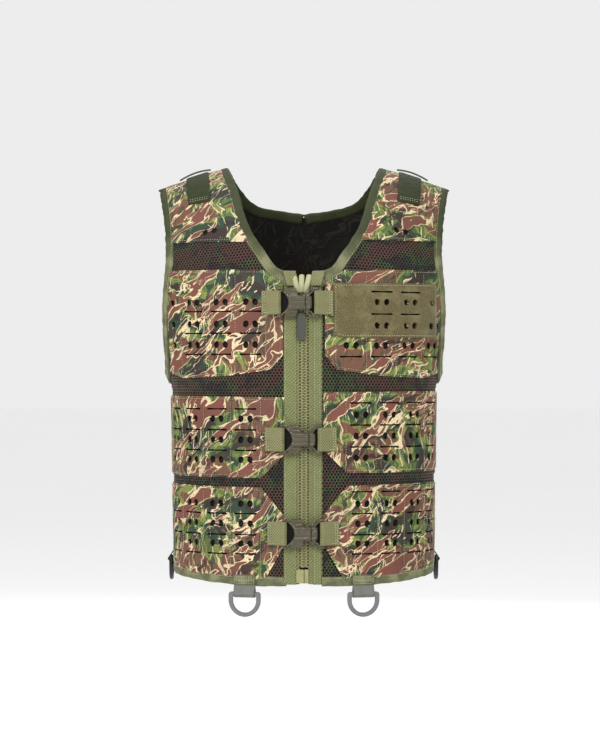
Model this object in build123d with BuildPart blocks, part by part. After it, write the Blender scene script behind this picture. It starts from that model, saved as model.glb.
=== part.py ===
"""Safety harness vest: mesh carrier, laser-cut attachment panels, zip, side-release buckles, D-rings.

Frame: origin at the middle of the shoulder seat, +X to the wearer's left, -Y out of the chest,
+Z up. "left" and "right" in names are the wearer's, so left pieces have positive X.
All the cloth layers follow one torso form, grown by the layer's height above the lining.
"""
from build123d import *
import os
from math import cos, pi, sin, sqrt

# ---- torso form -------------------------------------------------------------------------------
HALF_DEPTH = 122.0        # front and back reach of the lining at the chest
ROUNDNESS = 2.3           # exponent of the superellipse section
CHEST_LEVEL = -150.0      # above this height the form closes in to the shoulder ridge
RIDGE_LEVEL = 53.0        # height of the shoulder ridge, carried in to the centre line
SHOULDER_SLOPE = 0.325    # fall of the ridge per millimetre outwards
SLOPE_START = -170.0      # the sections start to tilt here
# height and half-width of the form, from the hem up
HALF_WIDTHS = [(-530, 165), (-265, 169), (-235, 180), (-150, 195), (-90, 206), (-40, 213), (60, 218)]

# sections near the ridge, as shares of the way down from it to the chest
RIDGE_SHARES = (0.25, 0.14, 0.06, 0.02, 0.005)
RIM_STEPS = 12            # parts of each half section

# ---- cloth layers, as heights above the form ----------------------------------------------------
LINING = (0.0, 2.0)
PANEL = (2.2, 5.0)
BINDING = (-1.0, 3.4)
PATCH = (5.2, 6.8)
SHOULDER_WEBBING = (5.2, 6.8)
BINDING_WIDTH = 11.5
BODY_GAP = 0.35           # half the gap between the front halves and the back
REACH = 260.0             # more than any point of the vest stands from the frame

# ---- closure --------------------------------------------------------------------------------------
TAPE_EDGE = 5.5           # the tape's woven edge, from the centre line
TAPE_SEAM = 22.0          # where the tape is sewn to the mesh
ZIP_TOP, ZIP_BOTTOM = -117.0, -508.0
TOOTH_PITCH = 4.0
TOOTH = (10.0, 4.2, 1.3)  # length, thickness, height
TEETH_TOP, BOX_TOP, BOX_BOTTOM = -142.0, -489.0, -507.0
ZIP_PLANE = -(HALF_DEPTH + 1.0)
SLIDER_LEVEL = -158.0
PULL_PIVOT = -169.5
PULL_SIZE = (10.0, 1.6, 34.0)

WEBBING = 1.4
STRAP_WIDTH = 30.0
BUCKLE_BACK = -129.7      # the housings stand clear of the slider and its pull
BUCKLES = {"top": (-8.3, -155.5), "middle": (-4.0, -326.5), "bottom": (-1.0, -444.0)}
BUCKLE_DEPTH = 9.0
HOUSING = (-14.0, 10.0)   # along the strap, from the buckle's own origin
MALE_BASE = (10.4, 18.5)
FEMALE_BAR, MALE_BAR = -24.5, 25.0
CAVITY_HALF, HOUSING_HALF = 8.6, 11.0
PRONG_PIVOT = (16.6, 6.3)
PRONG_DEPTH, CAVITY_DEPTH = 4.0, 5.2

RING_OUTER, RING_WIRE, RING_THICK, RING_DROP = 20.75, 5.4, 4.6, 8.0
TAB_WIDTH, TAB_ROLL = 27.5, 4.6


def smooth(t):
    """Ease from 0 to 1 with level ends."""
    t = min(1.0, max(0.0, t))
    return t * t * (3 - 2 * t)


def half_width(level):
    """Half-width of the form at a level, straight between the listed heights."""
    for (low, wide), (high, wider) in zip(HALF_WIDTHS, HALF_WIDTHS[1:]):
        if level <= high:
            return wide + (wider - wide) * max(0.0, (level - low) / (high - low))
    return HALF_WIDTHS[-1][1]


def half_depth(level, grow):
    """Front reach of the form at a level: constant to the chest, then a quarter ellipse."""
    rise = max(0.0, (level - CHEST_LEVEL) / (RIDGE_LEVEL + grow - CHEST_LEVEL))
    return (HALF_DEPTH + grow) * sqrt(max(0.0, 1 - rise * rise))


def tilt(level):
    """Fall of the section per millimetre outwards."""
    return SHOULDER_SLOPE * smooth((level - SLOPE_START) / (RIDGE_LEVEL - SLOPE_START))


def surface_depth(x, level):
    """Distance of the lining from the XZ plane at a place across and a level."""
    across = min(1.0, abs(x) / half_width(level))
    return half_depth(level, 0.0) * (1 - across**ROUNDNESS) ** (1 / ROUNDNESS)


def torso_form(grow):
    """The wearer's left half of the form, as one lofted solid grown by a layer height."""
    top = RIDGE_LEVEL + grow
    levels = [level for level, _ in HALF_WIDTHS[:-1]]
    levels += [top - (top - CHEST_LEVEL) * share for share in RIDGE_SHARES]
    with BuildPart() as form:
        for level in levels:
            fall = tilt(level)
            wide, deep = half_width(level) + grow, half_depth(level, grow)
            plane = Plane(origin=(0, 0, level), x_dir=(1, 0, -fall), z_dir=(fall, 0, 1))
            stretch = sqrt(1 + fall * fall)
            rim = []
            for step in range(RIM_STEPS + 1):
                turn = pi * step / RIM_STEPS
                across = wide * abs(sin(turn)) ** (2 / ROUNDNESS) * stretch
                out = abs(cos(turn)) ** (2 / ROUNDNESS) * (-deep if turn < pi / 2 else deep)
                rim.append((0.0 if step in (0, RIM_STEPS) else across, out))
            with BuildSketch(plane):
                with BuildLine():
                    Spline(*rim, tangents=[(1, 0), (-1, 0)])
                    Line(rim[-1], rim[0])
                make_face()
        loft(ruled=True)
    return form.part


FORMS = {grow: torso_form(grow) for grow in sorted({*LINING, *PANEL, *BINDING, *PATCH})}


# ---- outlines, drawn on the XZ plane for the wearer's left half -----------------------------------
# Outlines in the front view, for the wearer's left half.
ARMHOLE = [(187, 0), (180, -32), (175.5, -62), (174, -97), (177, -131), (179, -163), (178, -200), (176, -232)]
ARMHOLE_FOOT = -257.0
NECK_FRONT = [(36, -110), (46, -96), (61, -75), (73, -51), (83.5, -15), (98.5, 23)]
NECK_BACK = [(60, -22), (85, 0), (98.5, 23)]
NECK_FLOOR_BACK = -32.0
HEM_FRONT, HEM_SIDE = -509.8, -497.0
HEM_MIDDLE, HEM_SAG = 95.0, 2.0
SHOULDER_END = 190.0
OUTSIDE = 205.0
ABOVE = 75.0


def shifted(points, inset):
    """Move a run of points to its right by the inset, square to the run."""
    moved = []
    for index, (x, z) in enumerate(points):
        x0, z0 = points[max(0, index - 1)]
        x1, z1 = points[min(len(points) - 1, index + 1)]
        length = sqrt((x1 - x0) ** 2 + (z1 - z0) ** 2)
        moved.append((x + inset * (z1 - z0) / length, z - inset * (x1 - x0) / length))
    return moved


def half_outline(front, inset=0.0, mode=Mode.ADD):
    """Inner edge, neck, shoulder, armhole, side and hem of one half, less the binding's width."""
    if front:
        inner_edge, neck_run, hem_centre = TAPE_SEAM, [(TAPE_SEAM, ZIP_TOP), *NECK_FRONT], HEM_FRONT
    else:
        inner_edge, neck_run, hem_centre = 0.0, [(0.0, NECK_FLOOR_BACK), *NECK_BACK], HEM_SIDE
    neck_run = shifted(neck_run, inset)
    neck_run[0] = (inner_edge, neck_run[0][1])
    arm_run = shifted(ARMHOLE, inset)
    foot = ARMHOLE_FOOT - inset
    with BuildLine() as rim:
        neck = Spline(*neck_run)
        arm = Spline(*arm_run)
        middle = (HEM_MIDDLE, (hem_centre + HEM_SIDE) / 2 - HEM_SAG + inset)
        hem = ThreePointArc((inner_edge, hem_centre + inset), middle, (OUTSIDE, HEM_SIDE + inset))
        Line(hem @ 0, neck @ 0)
        Polyline(neck @ 1, (neck_run[-1][0] + 5, ABOVE), (SHOULDER_END, ABOVE), arm @ 0)
        Polyline(arm @ 1, (arm_run[-1][0], foot), (OUTSIDE, foot), hem @ 1)
    make_face(rim.line.edges(), mode=mode)


# Panel outlines, inner edge first. Each is cut to the space inside the binding.
YOKE = [(60, -79), (190, -79), (190, 90), (60, 90)]
UPPER = [(26, -221), (26, -128), (52, -114), (190, -114), (190, -236), (150, -250), (92, -247), (40, -239)]
MIDDLE = [(24, -346), (24, -274), (200, -271), (200, -374), (53, -375)]
LOWER = [(22.5, -425), (53, -387), (200, -383), (200, -520), (58, -520), (26, -463)]
YOKE_BACK = [(60, -48), (190, -48), (190, 90), (60, 90)]
BACK_UPPER = [(0, -60), (190, -60), (190, -236), (150, -250), (0, -250)]
BACK_MIDDLE = [(0, -272), (200, -272), (200, -374), (0, -374)]
BACK_LOWER = [(0, -386), (200, -386), (200, -520), (0, -520)]
# The wearer's left panels hang a little higher than the right ones.
LEFT_LIFT = {"upper": 0.0, "middle": 6.0, "lower": 2.0, "yoke": 2.0}
PATCH_OUTLINE = [(36, -196), (36, -131), (164, -131), (164, -199), (48, -199)]
WEBBING_OUTLINE = [(126, 60), (156, 60), (144, -31), (116, -27)]
TAPE_OUTLINE = [(TAPE_EDGE, BOX_TOP), (TAPE_EDGE, ZIP_TOP), (TAPE_SEAM, ZIP_TOP), (TAPE_SEAM, BOX_TOP)]

FACING = {True: 1, False: -1}


def outline(points, lift=0.0):
    """A straight-sided outline from its corners."""
    with BuildLine() as rim:
        Polyline(*[(x, z + lift) for x, z in points], close=True)
    make_face(rim.line.edges())


def lay(front, heights, side=1, both=False):
    """Turn the pending outline into a layer of the form, for one side or for both joined."""
    extrude(amount=FACING[front] * REACH)
    add(FORMS[heights[1]], mode=Mode.INTERSECT)
    add(FORMS[heights[0]], mode=Mode.SUBTRACT)
    if side < 0:
        mirror(about=Plane.YZ, mode=Mode.REPLACE)
    if both:
        mirror(about=Plane.YZ)


PARTS = {}


def finish(name, part):
    """Label a finished piece and keep it for writing."""
    part.label = name
    PARTS[name] = part


SIDES = {"left": 1, "right": -1}
SPLIT = {True: Plane.XZ.offset(BODY_GAP), False: Plane.XZ.offset(-BODY_GAP)}

# ---- front halves --------------------------------------------------------------------------------
for side, sign in SIDES.items():
    lift = LEFT_LIFT if sign > 0 else dict.fromkeys(LEFT_LIFT, 0.0)
    with BuildPart() as mesh:
        with BuildSketch(SPLIT[True]):
            half_outline(True, BINDING_WIDTH)
        lay(True, LINING, sign)
    finish(f"mesh_front_{side}", mesh.part)

    with BuildPart() as binding:
        with BuildSketch(SPLIT[True]):
            half_outline(True)
            half_outline(True, BINDING_WIDTH, Mode.SUBTRACT)
        lay(True, BINDING, sign)
    finish(f"binding_front_{side}", binding.part)

    for name, points in {"yoke": YOKE, "upper": UPPER, "middle": MIDDLE, "lower": LOWER}.items():
        with BuildPart() as panel:
            with BuildSketch(SPLIT[True]):
                outline(points, lift[name])
                half_outline(True, BINDING_WIDTH, Mode.INTERSECT)
            lay(True, PANEL, sign)
        finish(f"{name}_panel_{side}", panel.part)

    with BuildPart() as webbing:
        with BuildSketch(SPLIT[True]):
            outline(WEBBING_OUTLINE)
        lay(True, SHOULDER_WEBBING, sign)
    finish(f"shoulder_webbing_front_{side}", webbing.part)

    with BuildPart() as tape:
        with BuildSketch(SPLIT[True]):
            outline(TAPE_OUTLINE)
            with Locations((TAPE_SEAM - (TAPE_SEAM - TAPE_EDGE) / 2, (BOX_TOP + ZIP_BOTTOM) / 2)):
                Rectangle(TAPE_SEAM - TAPE_EDGE, BOX_TOP - ZIP_BOTTOM)
        lay(True, LINING, sign)
    finish(f"zip_tape_{side}", tape.part)

    # moulded teeth: each row fills the gaps of the other
    first = TEETH_TOP - (0 if sign > 0 else TOOTH_PITCH / 2)
    count = int((first - BOX_TOP - 2) // TOOTH_PITCH)
    with BuildPart() as teeth:
        for row in range(count):
            with BuildSketch(Plane.YZ.offset(sign * (TAPE_EDGE - TOOTH[0]))):
                with Locations((ZIP_PLANE, first - row * TOOTH_PITCH)):
                    Rectangle(TOOTH[1], TOOTH[2])
        extrude(amount=sign * TOOTH[0])
    finish(f"zip_teeth_{side}", teeth.part)

with BuildPart() as patch:
    with BuildSketch(SPLIT[True]):
        outline(PATCH_OUTLINE)
        half_outline(True, BINDING_WIDTH, Mode.INTERSECT)
    lay(True, PATCH)
finish("hook_loop_patch", patch.part)

# ---- back ----------------------------------------------------------------------------------------
with BuildPart() as back_mesh:
    with BuildSketch(SPLIT[False]):
        half_outline(False, BINDING_WIDTH)
    lay(False, LINING, both=True)
finish("mesh_back", back_mesh.part)

with BuildPart() as back_binding:
    with BuildSketch(SPLIT[False]):
        half_outline(False)
        half_outline(False, BINDING_WIDTH, Mode.SUBTRACT)
    lay(False, BINDING, both=True)
finish("binding_back", back_binding.part)

for name, points in {"upper": BACK_UPPER, "middle": BACK_MIDDLE, "lower": BACK_LOWER}.items():
    with BuildPart() as panel:
        with BuildSketch(SPLIT[False]):
            outline(points)
            half_outline(False, BINDING_WIDTH, Mode.INTERSECT)
        lay(False, PANEL, both=True)
    finish(f"back_panel_{name}", panel.part)

with BuildPart() as yoke:
    with BuildSketch(SPLIT[False]):
        outline(YOKE_BACK)
        half_outline(False, BINDING_WIDTH, Mode.INTERSECT)
    lay(False, PANEL, both=True)
finish("yoke_back", yoke.part)

with BuildPart() as webbing:
    with BuildSketch(SPLIT[False]):
        outline(WEBBING_OUTLINE)
    lay(False, SHOULDER_WEBBING, both=True)
finish("shoulder_webbing_back", webbing.part)

# ---- zip slider, pull, pin and box -----------------------------------------------------------------
SLIDER_WIDTH, SLIDER_HEIGHT = 15.0, 20.0
PLATE = 1.8
PLATE_GAP = 0.4
PLATE_CORNER, PULL_CORNER, BOX_CORNER = 4.0, 2.5, 1.5
PULL_OFFSET = -3.5        # the pull hangs to one side of the teeth
PULL_GAP = 0.3
front_plate = ZIP_PLANE - TOOTH[1] / 2 - PLATE_GAP
back_plate = ZIP_PLANE + TOOTH[1] / 2 + PLATE_GAP

with BuildPart() as slider:
    for face, reach in ((front_plate, PLATE), (back_plate, -PLATE)):
        with BuildSketch(Plane.XZ.offset(-face)):
            with Locations((0, SLIDER_LEVEL)):
                RectangleRounded(SLIDER_WIDTH, SLIDER_HEIGHT, PLATE_CORNER)
        extrude(amount=reach)
finish("zip_slider", slider.part)

with BuildPart() as pull:
    with BuildSketch(Plane.XZ.offset(-(front_plate - PLATE - PULL_GAP))):
        with Locations((PULL_OFFSET, PULL_PIVOT + PULL_SIZE[1] / 2 - PULL_SIZE[2] / 2)):
            RectangleRounded(PULL_SIZE[0], PULL_SIZE[2], PULL_CORNER)
    extrude(amount=PULL_SIZE[1])
finish("zip_pull", pull.part)

BOX_SIZE = (9.5, 6.4)
BOX_CENTRE, PIN_CENTRE, PIN_WIDTH = -4.9, 3.0, 5.0
with BuildPart() as box:
    with BuildSketch(Plane.XZ.offset(-ZIP_PLANE - BOX_SIZE[1] / 2)):
        with Locations((BOX_CENTRE, (BOX_TOP + BOX_BOTTOM) / 2)):
            RectangleRounded(BOX_SIZE[0], BOX_TOP - BOX_BOTTOM - 1, BOX_CORNER)
    extrude(amount=BOX_SIZE[1])
    add(PARTS["zip_tape_right"], mode=Mode.SUBTRACT)
finish("zip_retainer_box", box.part)

with BuildPart() as pin:
    with BuildSketch(Plane.XZ.offset(-ZIP_PLANE - TOOTH[1] / 2)):
        with Locations((PIN_CENTRE, (BOX_TOP + BOX_BOTTOM) / 2)):
            Rectangle(PIN_WIDTH, BOX_TOP - BOX_BOTTOM - 1)
    extrude(amount=TOOTH[1])
finish("zip_insertion_pin", pin.part)


# ---- side-release buckles --------------------------------------------------------------------------
RIB, BAR_REACH, BAR_INNER = 3.2, 18.8, 15.5
BAR_THICK = 4.0
STRAP_END = 45.0
STRAP_SINK = 7.6
STRAP_HOLE = 2.75         # inner radius of the webbing's turn round a bar
HOUSING_ROUND = 2.0
RIB_INSIDE, RIB_OUTSIDE = 6.0, 10.8
CAVITY_START = -10.5
WINDOW = (0.5, 8.0)       # the openings for the prongs' barbs, along the strap
SPINE = (-8.0, 12.0)      # the fixed middle tongue between the prongs
SPINE_WIDTH, SPINE_DEPTH = 3.6, 4.4
ROOT_POCKET = (10.1, 18.7)
ROOT_POCKET_HEIGHT = 6.6
PIVOT_RADIUS = 1.4
# one prong, from its root to its barb and back
PRONG = [(1.0, 5.2), (16.6, 5.0), (16.6, 7.4), (7.2, 7.8), (7.0, 9.9), (4.0, 9.9), (1.0, 7.6)]


def buckle_plane(place, height=0.0):
    """The buckle's own frame: local X along the strap, local Y up, Z out of the chest."""
    return Plane(origin=(place[0], BUCKLE_BACK - height, place[1]), x_dir=(1, 0, 0), z_dir=(0, -1, 0))


def slab(start, end, height, up=0.0):
    """A rectangle along the strap from start to end."""
    with Locations(((start + end) / 2, up)):
        Rectangle(end - start, height)


def ribs_and_bar(place, root, bar):
    """Two ribs that splay from a housing's corners to the ends of the strap bar."""
    away = 1 if bar > 0 else -1
    near, tip = bar - away * 4.5, bar + away * RIB / 2
    with BuildSketch(buckle_plane(place, (BUCKLE_DEPTH - BAR_THICK) / 2)) as splay:
        for up in (1, -1):
            with BuildLine() as rib:
                Polyline((root, up * RIB_INSIDE), (root, up * RIB_OUTSIDE), (near - away * 2, up * BAR_REACH),
                         (tip, up * BAR_REACH), (tip, up * BAR_INNER), (near, up * BAR_INNER), close=True)
            make_face(rib.line.edges())
        with Locations((bar, 0)):
            Rectangle(RIB, 2 * BAR_REACH - 4)
    extrude(splay.sketch, amount=BAR_THICK)


for name, place in BUCKLES.items():
    with BuildPart() as female:
        with BuildSketch(buckle_plane(place)):
            slab(*HOUSING, 2 * HOUSING_HALF)
        extrude(amount=BUCKLE_DEPTH)
        fillet(female.edges().filter_by(Axis.X), HOUSING_ROUND)
        ribs_and_bar(place, HOUSING[0] + 3, FEMALE_BAR)
        with BuildSketch(buckle_plane(place, (BUCKLE_DEPTH - CAVITY_DEPTH) / 2)):
            slab(CAVITY_START, HOUSING[1], 2 * CAVITY_HALF)
            slab(*WINDOW, 2 * HOUSING_HALF + 2)
        extrude(amount=CAVITY_DEPTH, mode=Mode.SUBTRACT)
    finish(f"buckle_female_{name}", female.part)

    with BuildPart() as male:
        with BuildSketch(buckle_plane(place)):
            slab(*MALE_BASE, 2 * HOUSING_HALF)
        extrude(amount=BUCKLE_DEPTH)
        fillet(male.edges().filter_by(Axis.X), HOUSING_ROUND)
        ribs_and_bar(place, MALE_BASE[1] - 2, MALE_BAR)
        with BuildSketch(buckle_plane(place, (BUCKLE_DEPTH - SPINE_DEPTH) / 2)):
            slab(*SPINE, SPINE_WIDTH)
        extrude(amount=SPINE_DEPTH)
        with BuildSketch(buckle_plane(place, (BUCKLE_DEPTH - CAVITY_DEPTH) / 2)):
            slab(*ROOT_POCKET, ROOT_POCKET_HEIGHT, PRONG_PIVOT[1])
            slab(*ROOT_POCKET, ROOT_POCKET_HEIGHT, -PRONG_PIVOT[1])
        extrude(amount=CAVITY_DEPTH, mode=Mode.SUBTRACT)
    finish(f"buckle_male_{name}", male.part)

    for reach, up in {"upper": 1, "lower": -1}.items():
        with BuildPart() as prong:
            with BuildSketch(buckle_plane(place, (BUCKLE_DEPTH - PRONG_DEPTH) / 2)):
                with BuildLine() as arm:
                    Polyline(*[(x, up * y) for x, y in PRONG], close=True)
                make_face(arm.line.edges())
                with Locations((PRONG_PIVOT[0], up * PRONG_PIVOT[1])):
                    Circle(PIVOT_RADIUS)
            extrude(amount=PRONG_DEPTH)
        finish(f"buckle_prong_{name}_{reach}", prong.part)

    for side, bar in {"left": MALE_BAR, "right": FEMALE_BAR}.items():
        sign = SIDES[side]
        end = sign * STRAP_END
        bar_depth = BUCKLE_BACK - BUCKLE_DEPTH / 2
        with BuildPart() as strap:
            with BuildSketch(Plane.XY.offset(place[1] - STRAP_WIDTH / 2)):
                with BuildLine() as loop:
                    Line((place[0] + bar, bar_depth), (place[0] + end, bar_depth + STRAP_SINK))
                trace(loop.line.edges(), line_width=2 * WEBBING + 0.2)
                with Locations((place[0] + bar, bar_depth)):
                    Circle(STRAP_HOLE + WEBBING)
                    Circle(STRAP_HOLE, mode=Mode.SUBTRACT)
            extrude(amount=STRAP_WIDTH)
            add(FORMS[PATCH[1]] if sign > 0 and name == "top" else FORMS[PANEL[1]], mode=Mode.SUBTRACT)
            if sign < 0:
                add(FORMS[PANEL[1]].mirror(Plane.YZ), mode=Mode.SUBTRACT)
        finish(f"buckle_webbing_{name}_{side}", strap.part)


# ---- D-rings in their webbing tabs -------------------------------------------------------------------
def ring_plane(foot, out, tangent, shift=(0.0, 0.0)):
    """Local X along the ring's bar, local Y up, Z out of the body."""
    x = foot[0] + tangent[0] * shift[0] + out[0] * shift[1]
    y = foot[1] + tangent[1] * shift[0] + out[1] * shift[1]
    return Plane(origin=(x, y, foot[2]), x_dir=(*tangent, 0), z_dir=(*out, 0))


RING_CORNER, RING_INNER_CORNER, RING_CHAMFER = 4.0, 1.5, 1.1
ARC_MIDDLE = 1 - sqrt(0.5)  # how far a quarter arc's middle stands in from its corner


def d_outline(reach, top, corner):
    """A half circle below two short sides and a straight, round-cornered top."""
    cut = ARC_MIDDLE * corner
    with BuildLine() as rim:
        ThreePointArc((reach, -RING_DROP), (0, -RING_DROP - reach), (-reach, -RING_DROP))
        Line((-reach, -RING_DROP), (-reach, top - corner))
        ThreePointArc((-reach, top - corner), (-reach + cut, top - cut), (-reach + corner, top))
        Line((-reach + corner, top), (reach - corner, top))
        ThreePointArc((reach - corner, top), (reach - cut, top - cut), (reach, top - corner))
        Line((reach, top - corner), (reach, -RING_DROP))
    return rim.line.edges()


def make_ring(name, foot, out, tangent):
    """A moulded D about the middle of its bar."""
    with BuildPart() as ring:
        with BuildSketch(ring_plane(foot, out, tangent, (0, -RING_THICK / 2))) as disc:
            make_face(d_outline(RING_OUTER, RING_WIRE / 2, RING_CORNER))
            hole = d_outline(RING_OUTER - RING_WIRE, -RING_WIRE / 2, RING_INNER_CORNER)
            make_face(hole, mode=Mode.SUBTRACT)
        extrude(disc.sketch, amount=RING_THICK)
        chamfer(ring.faces().filter_by(Plane(origin=(0, 0, 0), z_dir=(*out, 0))).edges(), RING_CHAMFER)
    finish(name, ring.part)


TAB_NECK = 12.0           # above this the two ends of a tab lie flat together
FRONT_LAP, SIDE_LAP = 24.0, 26.0
FRONT_SEAT, SIDE_SEAT = 1.85, 6.1
FRONT_STAND, SIDE_STAND = BINDING[1] + 1.9, PANEL[1] + 6.2


def make_tab(name, foot, out, tangent, lap, seat):
    """A folded webbing tab: a loop round the ring's bar and a flat lap sewn to the hem."""
    with BuildPart() as tab:
        side_plane = Plane(origin=ring_plane(foot, out, tangent, (-TAB_WIDTH / 2, 0)).origin,
                           x_dir=(*out, 0), z_dir=(*tangent, 0))
        up = 1 if side_plane.y_dir.Z > 0 else -1
        with BuildSketch(side_plane):
            with BuildLine() as flap:
                neck, end, face = up * TAB_NECK, up * lap, 2 * WEBBING - seat
                Polyline((-TAB_ROLL, 0), (-seat, neck), (-seat, end), (face, end), (face, neck), (TAB_ROLL, 0),
                         close=True)
            make_face(flap.line.edges())
            Circle(TAB_ROLL)
            Circle(TAB_ROLL - WEBBING + 0.15, mode=Mode.SUBTRACT)
        extrude(amount=TAB_WIDTH)
    finish(name, tab.part)


FRONT_RING_ACROSS, FRONT_RING_HEIGHT = 73.0, -520.5
SIDE_RING_BACK, SIDE_RING_HEIGHT = 31.0, -486.0
hem_depth = surface_depth(FRONT_RING_ACROSS, HEM_FRONT)
inner_depth, outer_depth = (surface_depth(FRONT_RING_ACROSS + step, HEM_FRONT) for step in (-5, 5))
slope = (inner_depth - outer_depth) / 10
lean = sqrt(1 + slope * slope)
back_share = (SIDE_RING_BACK / HALF_DEPTH) ** ROUNDNESS
side_reach = half_width(SIDE_RING_HEIGHT) * (1 - back_share) ** (1 / ROUNDNESS)
for side, sign in SIDES.items():
    out, tangent = (sign * slope / lean, -1 / lean), (1 / lean, sign * slope / lean)
    across, reach = sign * FRONT_RING_ACROSS + out[0] * FRONT_STAND, -hem_depth + out[1] * FRONT_STAND
    foot = (across, reach, FRONT_RING_HEIGHT)
    make_ring(f"d_ring_front_{side}", foot, out, tangent)
    make_tab(f"ring_tab_front_{side}", foot, out, tangent, FRONT_LAP, FRONT_SEAT)
    foot = (sign * (side_reach + SIDE_STAND), SIDE_RING_BACK, SIDE_RING_HEIGHT)
    make_ring(f"d_ring_side_{side}", foot, (sign, 0), (0, sign))
    make_tab(f"ring_tab_side_{side}", foot, (sign, 0), (0, sign), SIDE_LAP, SIDE_SEAT)

# ---- cord keepers over the shoulders, hang loop at the back ----------------------------------------------
CORD_RADIUS = 1.1
KEEPER = [(121, 20.5), (141, 19.5), (161, 6.5)]
KEEPER_DEPTH = -9.0
for side, sign in SIDES.items():
    with BuildPart() as keeper:
        with BuildLine() as arch:
            ThreePointArc(*[(sign * x, KEEPER_DEPTH, z) for x, z in KEEPER])
        with BuildSketch(Plane(origin=arch.line @ 0, z_dir=arch.line % 0)):
            Circle(CORD_RADIUS)
        sweep(path=arch.line)
        add(FORMS[PANEL[1]] if sign > 0 else FORMS[PANEL[1]].mirror(Plane.YZ), mode=Mode.SUBTRACT)
    finish(f"cord_keeper_{side}", keeper.part)

LOOP_HEIGHT, LOOP_WIDTH, LOOP_SPAN, LOOP_RISE = -86.0, 25.0, 46.0, 22.0
LOOP_THICK = 2.2
LOOP_FOOT = HALF_DEPTH - 10
with BuildPart() as hang_loop:
    with BuildSketch(Plane.XY.offset(LOOP_HEIGHT - LOOP_WIDTH / 2)):
        with BuildLine() as path:
            ThreePointArc((-LOOP_SPAN, LOOP_FOOT), (0, HALF_DEPTH + LOOP_RISE), (LOOP_SPAN, LOOP_FOOT))
        trace(path.line.edges(), line_width=LOOP_THICK)
    extrude(amount=LOOP_WIDTH)
    add(FORMS[PANEL[1]], mode=Mode.SUBTRACT)
    add(FORMS[PANEL[1]].mirror(Plane.YZ), mode=Mode.SUBTRACT)
finish("hang_loop", hang_loop.part)

os.makedirs("parts", exist_ok=True)
for name, part in PARTS.items():
    export_step(part, f"parts/{name}.step")
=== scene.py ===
"""Safety harness vest: cloth, webbing, zip and buckles around the fixed frame.

Lengths are in metres, +Z up, the chest faces -Y, and "left" is the wearer's left (+X).
Every cloth piece is drawn flat on the torso form, as arc length s round the body and height v up it,
and then laid on the form at its own height above the lining.
"""
from math import ceil, cos, hypot, pi, radians, sin, sqrt

import bpy
import numpy as np
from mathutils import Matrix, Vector, noise
from mathutils.geometry import delaunay_2d_cdt


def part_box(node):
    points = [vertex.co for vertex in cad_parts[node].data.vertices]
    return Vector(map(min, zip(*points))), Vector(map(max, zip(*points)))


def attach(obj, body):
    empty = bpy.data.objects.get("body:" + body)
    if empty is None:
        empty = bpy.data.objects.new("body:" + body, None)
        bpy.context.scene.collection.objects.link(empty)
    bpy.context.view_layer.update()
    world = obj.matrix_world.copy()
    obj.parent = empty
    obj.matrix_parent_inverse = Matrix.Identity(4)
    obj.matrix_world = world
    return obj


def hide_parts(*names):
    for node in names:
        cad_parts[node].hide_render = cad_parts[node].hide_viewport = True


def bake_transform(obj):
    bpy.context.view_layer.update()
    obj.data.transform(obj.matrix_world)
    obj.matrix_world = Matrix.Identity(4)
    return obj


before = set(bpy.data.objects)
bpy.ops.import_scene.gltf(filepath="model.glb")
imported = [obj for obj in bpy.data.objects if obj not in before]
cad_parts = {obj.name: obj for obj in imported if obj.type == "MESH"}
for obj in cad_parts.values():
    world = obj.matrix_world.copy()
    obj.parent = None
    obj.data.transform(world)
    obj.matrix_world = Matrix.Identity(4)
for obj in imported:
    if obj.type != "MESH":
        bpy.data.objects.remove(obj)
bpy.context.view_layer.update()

bl_info = {
    "name": "Safety Harness Vest",
    "version": (1, 0, 0),
    "blender": (4, 5, 0),
    "location": "3D View > Sidebar > Vest",
    "description": "Builds a mesh carrier vest with laser-cut panels, zip, buckles and D-rings",
    "category": "Object",
}

MM = 0.001
SIDES = {"left": 1, "right": -1}

# ---- the torso form, as in the frame ---------------------------------------------------------------
HALF_DEPTH = 122 * MM
ROUNDNESS = 2.3
CHEST_LEVEL = -150 * MM
RIDGE_LEVEL = 53 * MM
SHOULDER_SLOPE = 0.325
SLOPE_START = -170 * MM
WIDTH_LEVELS = np.array([-530, -265, -235, -150, -90, -40, 60]) * MM
HALF_WIDTHS = np.array([165, 169, 180, 195, 206, 213, 218]) * MM
TURN_LENGTH = 165 * MM  # length along the form for each radian over the shoulder


def half_width(level):
    return np.interp(level, WIDTH_LEVELS, HALF_WIDTHS)


def tilt(level):
    t = np.clip((level - SLOPE_START) / (RIDGE_LEVEL - SLOPE_START), 0, 1)
    return SHOULDER_SLOPE * t * t * (3 - 2 * t)


def _arc_tables():
    """Arc length round a quarter section against its parameter, for flat to round sections."""
    flatness = np.linspace(0, 1.0, 41)
    turn = np.linspace(0, pi / 2, 241)
    x = np.sin(turn) ** (2 / ROUNDNESS)
    y = np.cos(turn) ** (2 / ROUNDNESS)
    share, quarter = [], []
    for k in flatness:
        run = np.concatenate([[0], np.cumsum(np.hypot(np.diff(x), k * np.diff(y)))])
        quarter.append(run[-1])
        share.append(run / run[-1])
    even = np.linspace(0, 1, 241)
    inverse = [np.interp(even, row, turn) for row in share]
    return np.array(share), np.array(inverse), np.array(quarter)


ARC_SHARE, ARC_TURN, ARC_QUARTER = _arc_tables()


def look_up(table, k, t):
    """Read a table between its rows and columns; k and t run from 0 to 1."""
    row = np.clip(k, 0, 1) * (table.shape[0] - 1)
    col = np.clip(t, 0, 1) * (table.shape[1] - 1)
    r0 = np.minimum(row.astype(int), table.shape[0] - 2)
    c0 = np.minimum(col.astype(int), table.shape[1] - 2)
    fr, fc = row - r0, col - c0
    top = table[r0, c0] * (1 - fc) + table[r0, c0 + 1] * fc
    low = table[r0 + 1, c0] * (1 - fc) + table[r0 + 1, c0 + 1] * fc
    return top * (1 - fr) + low * fr


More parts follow.
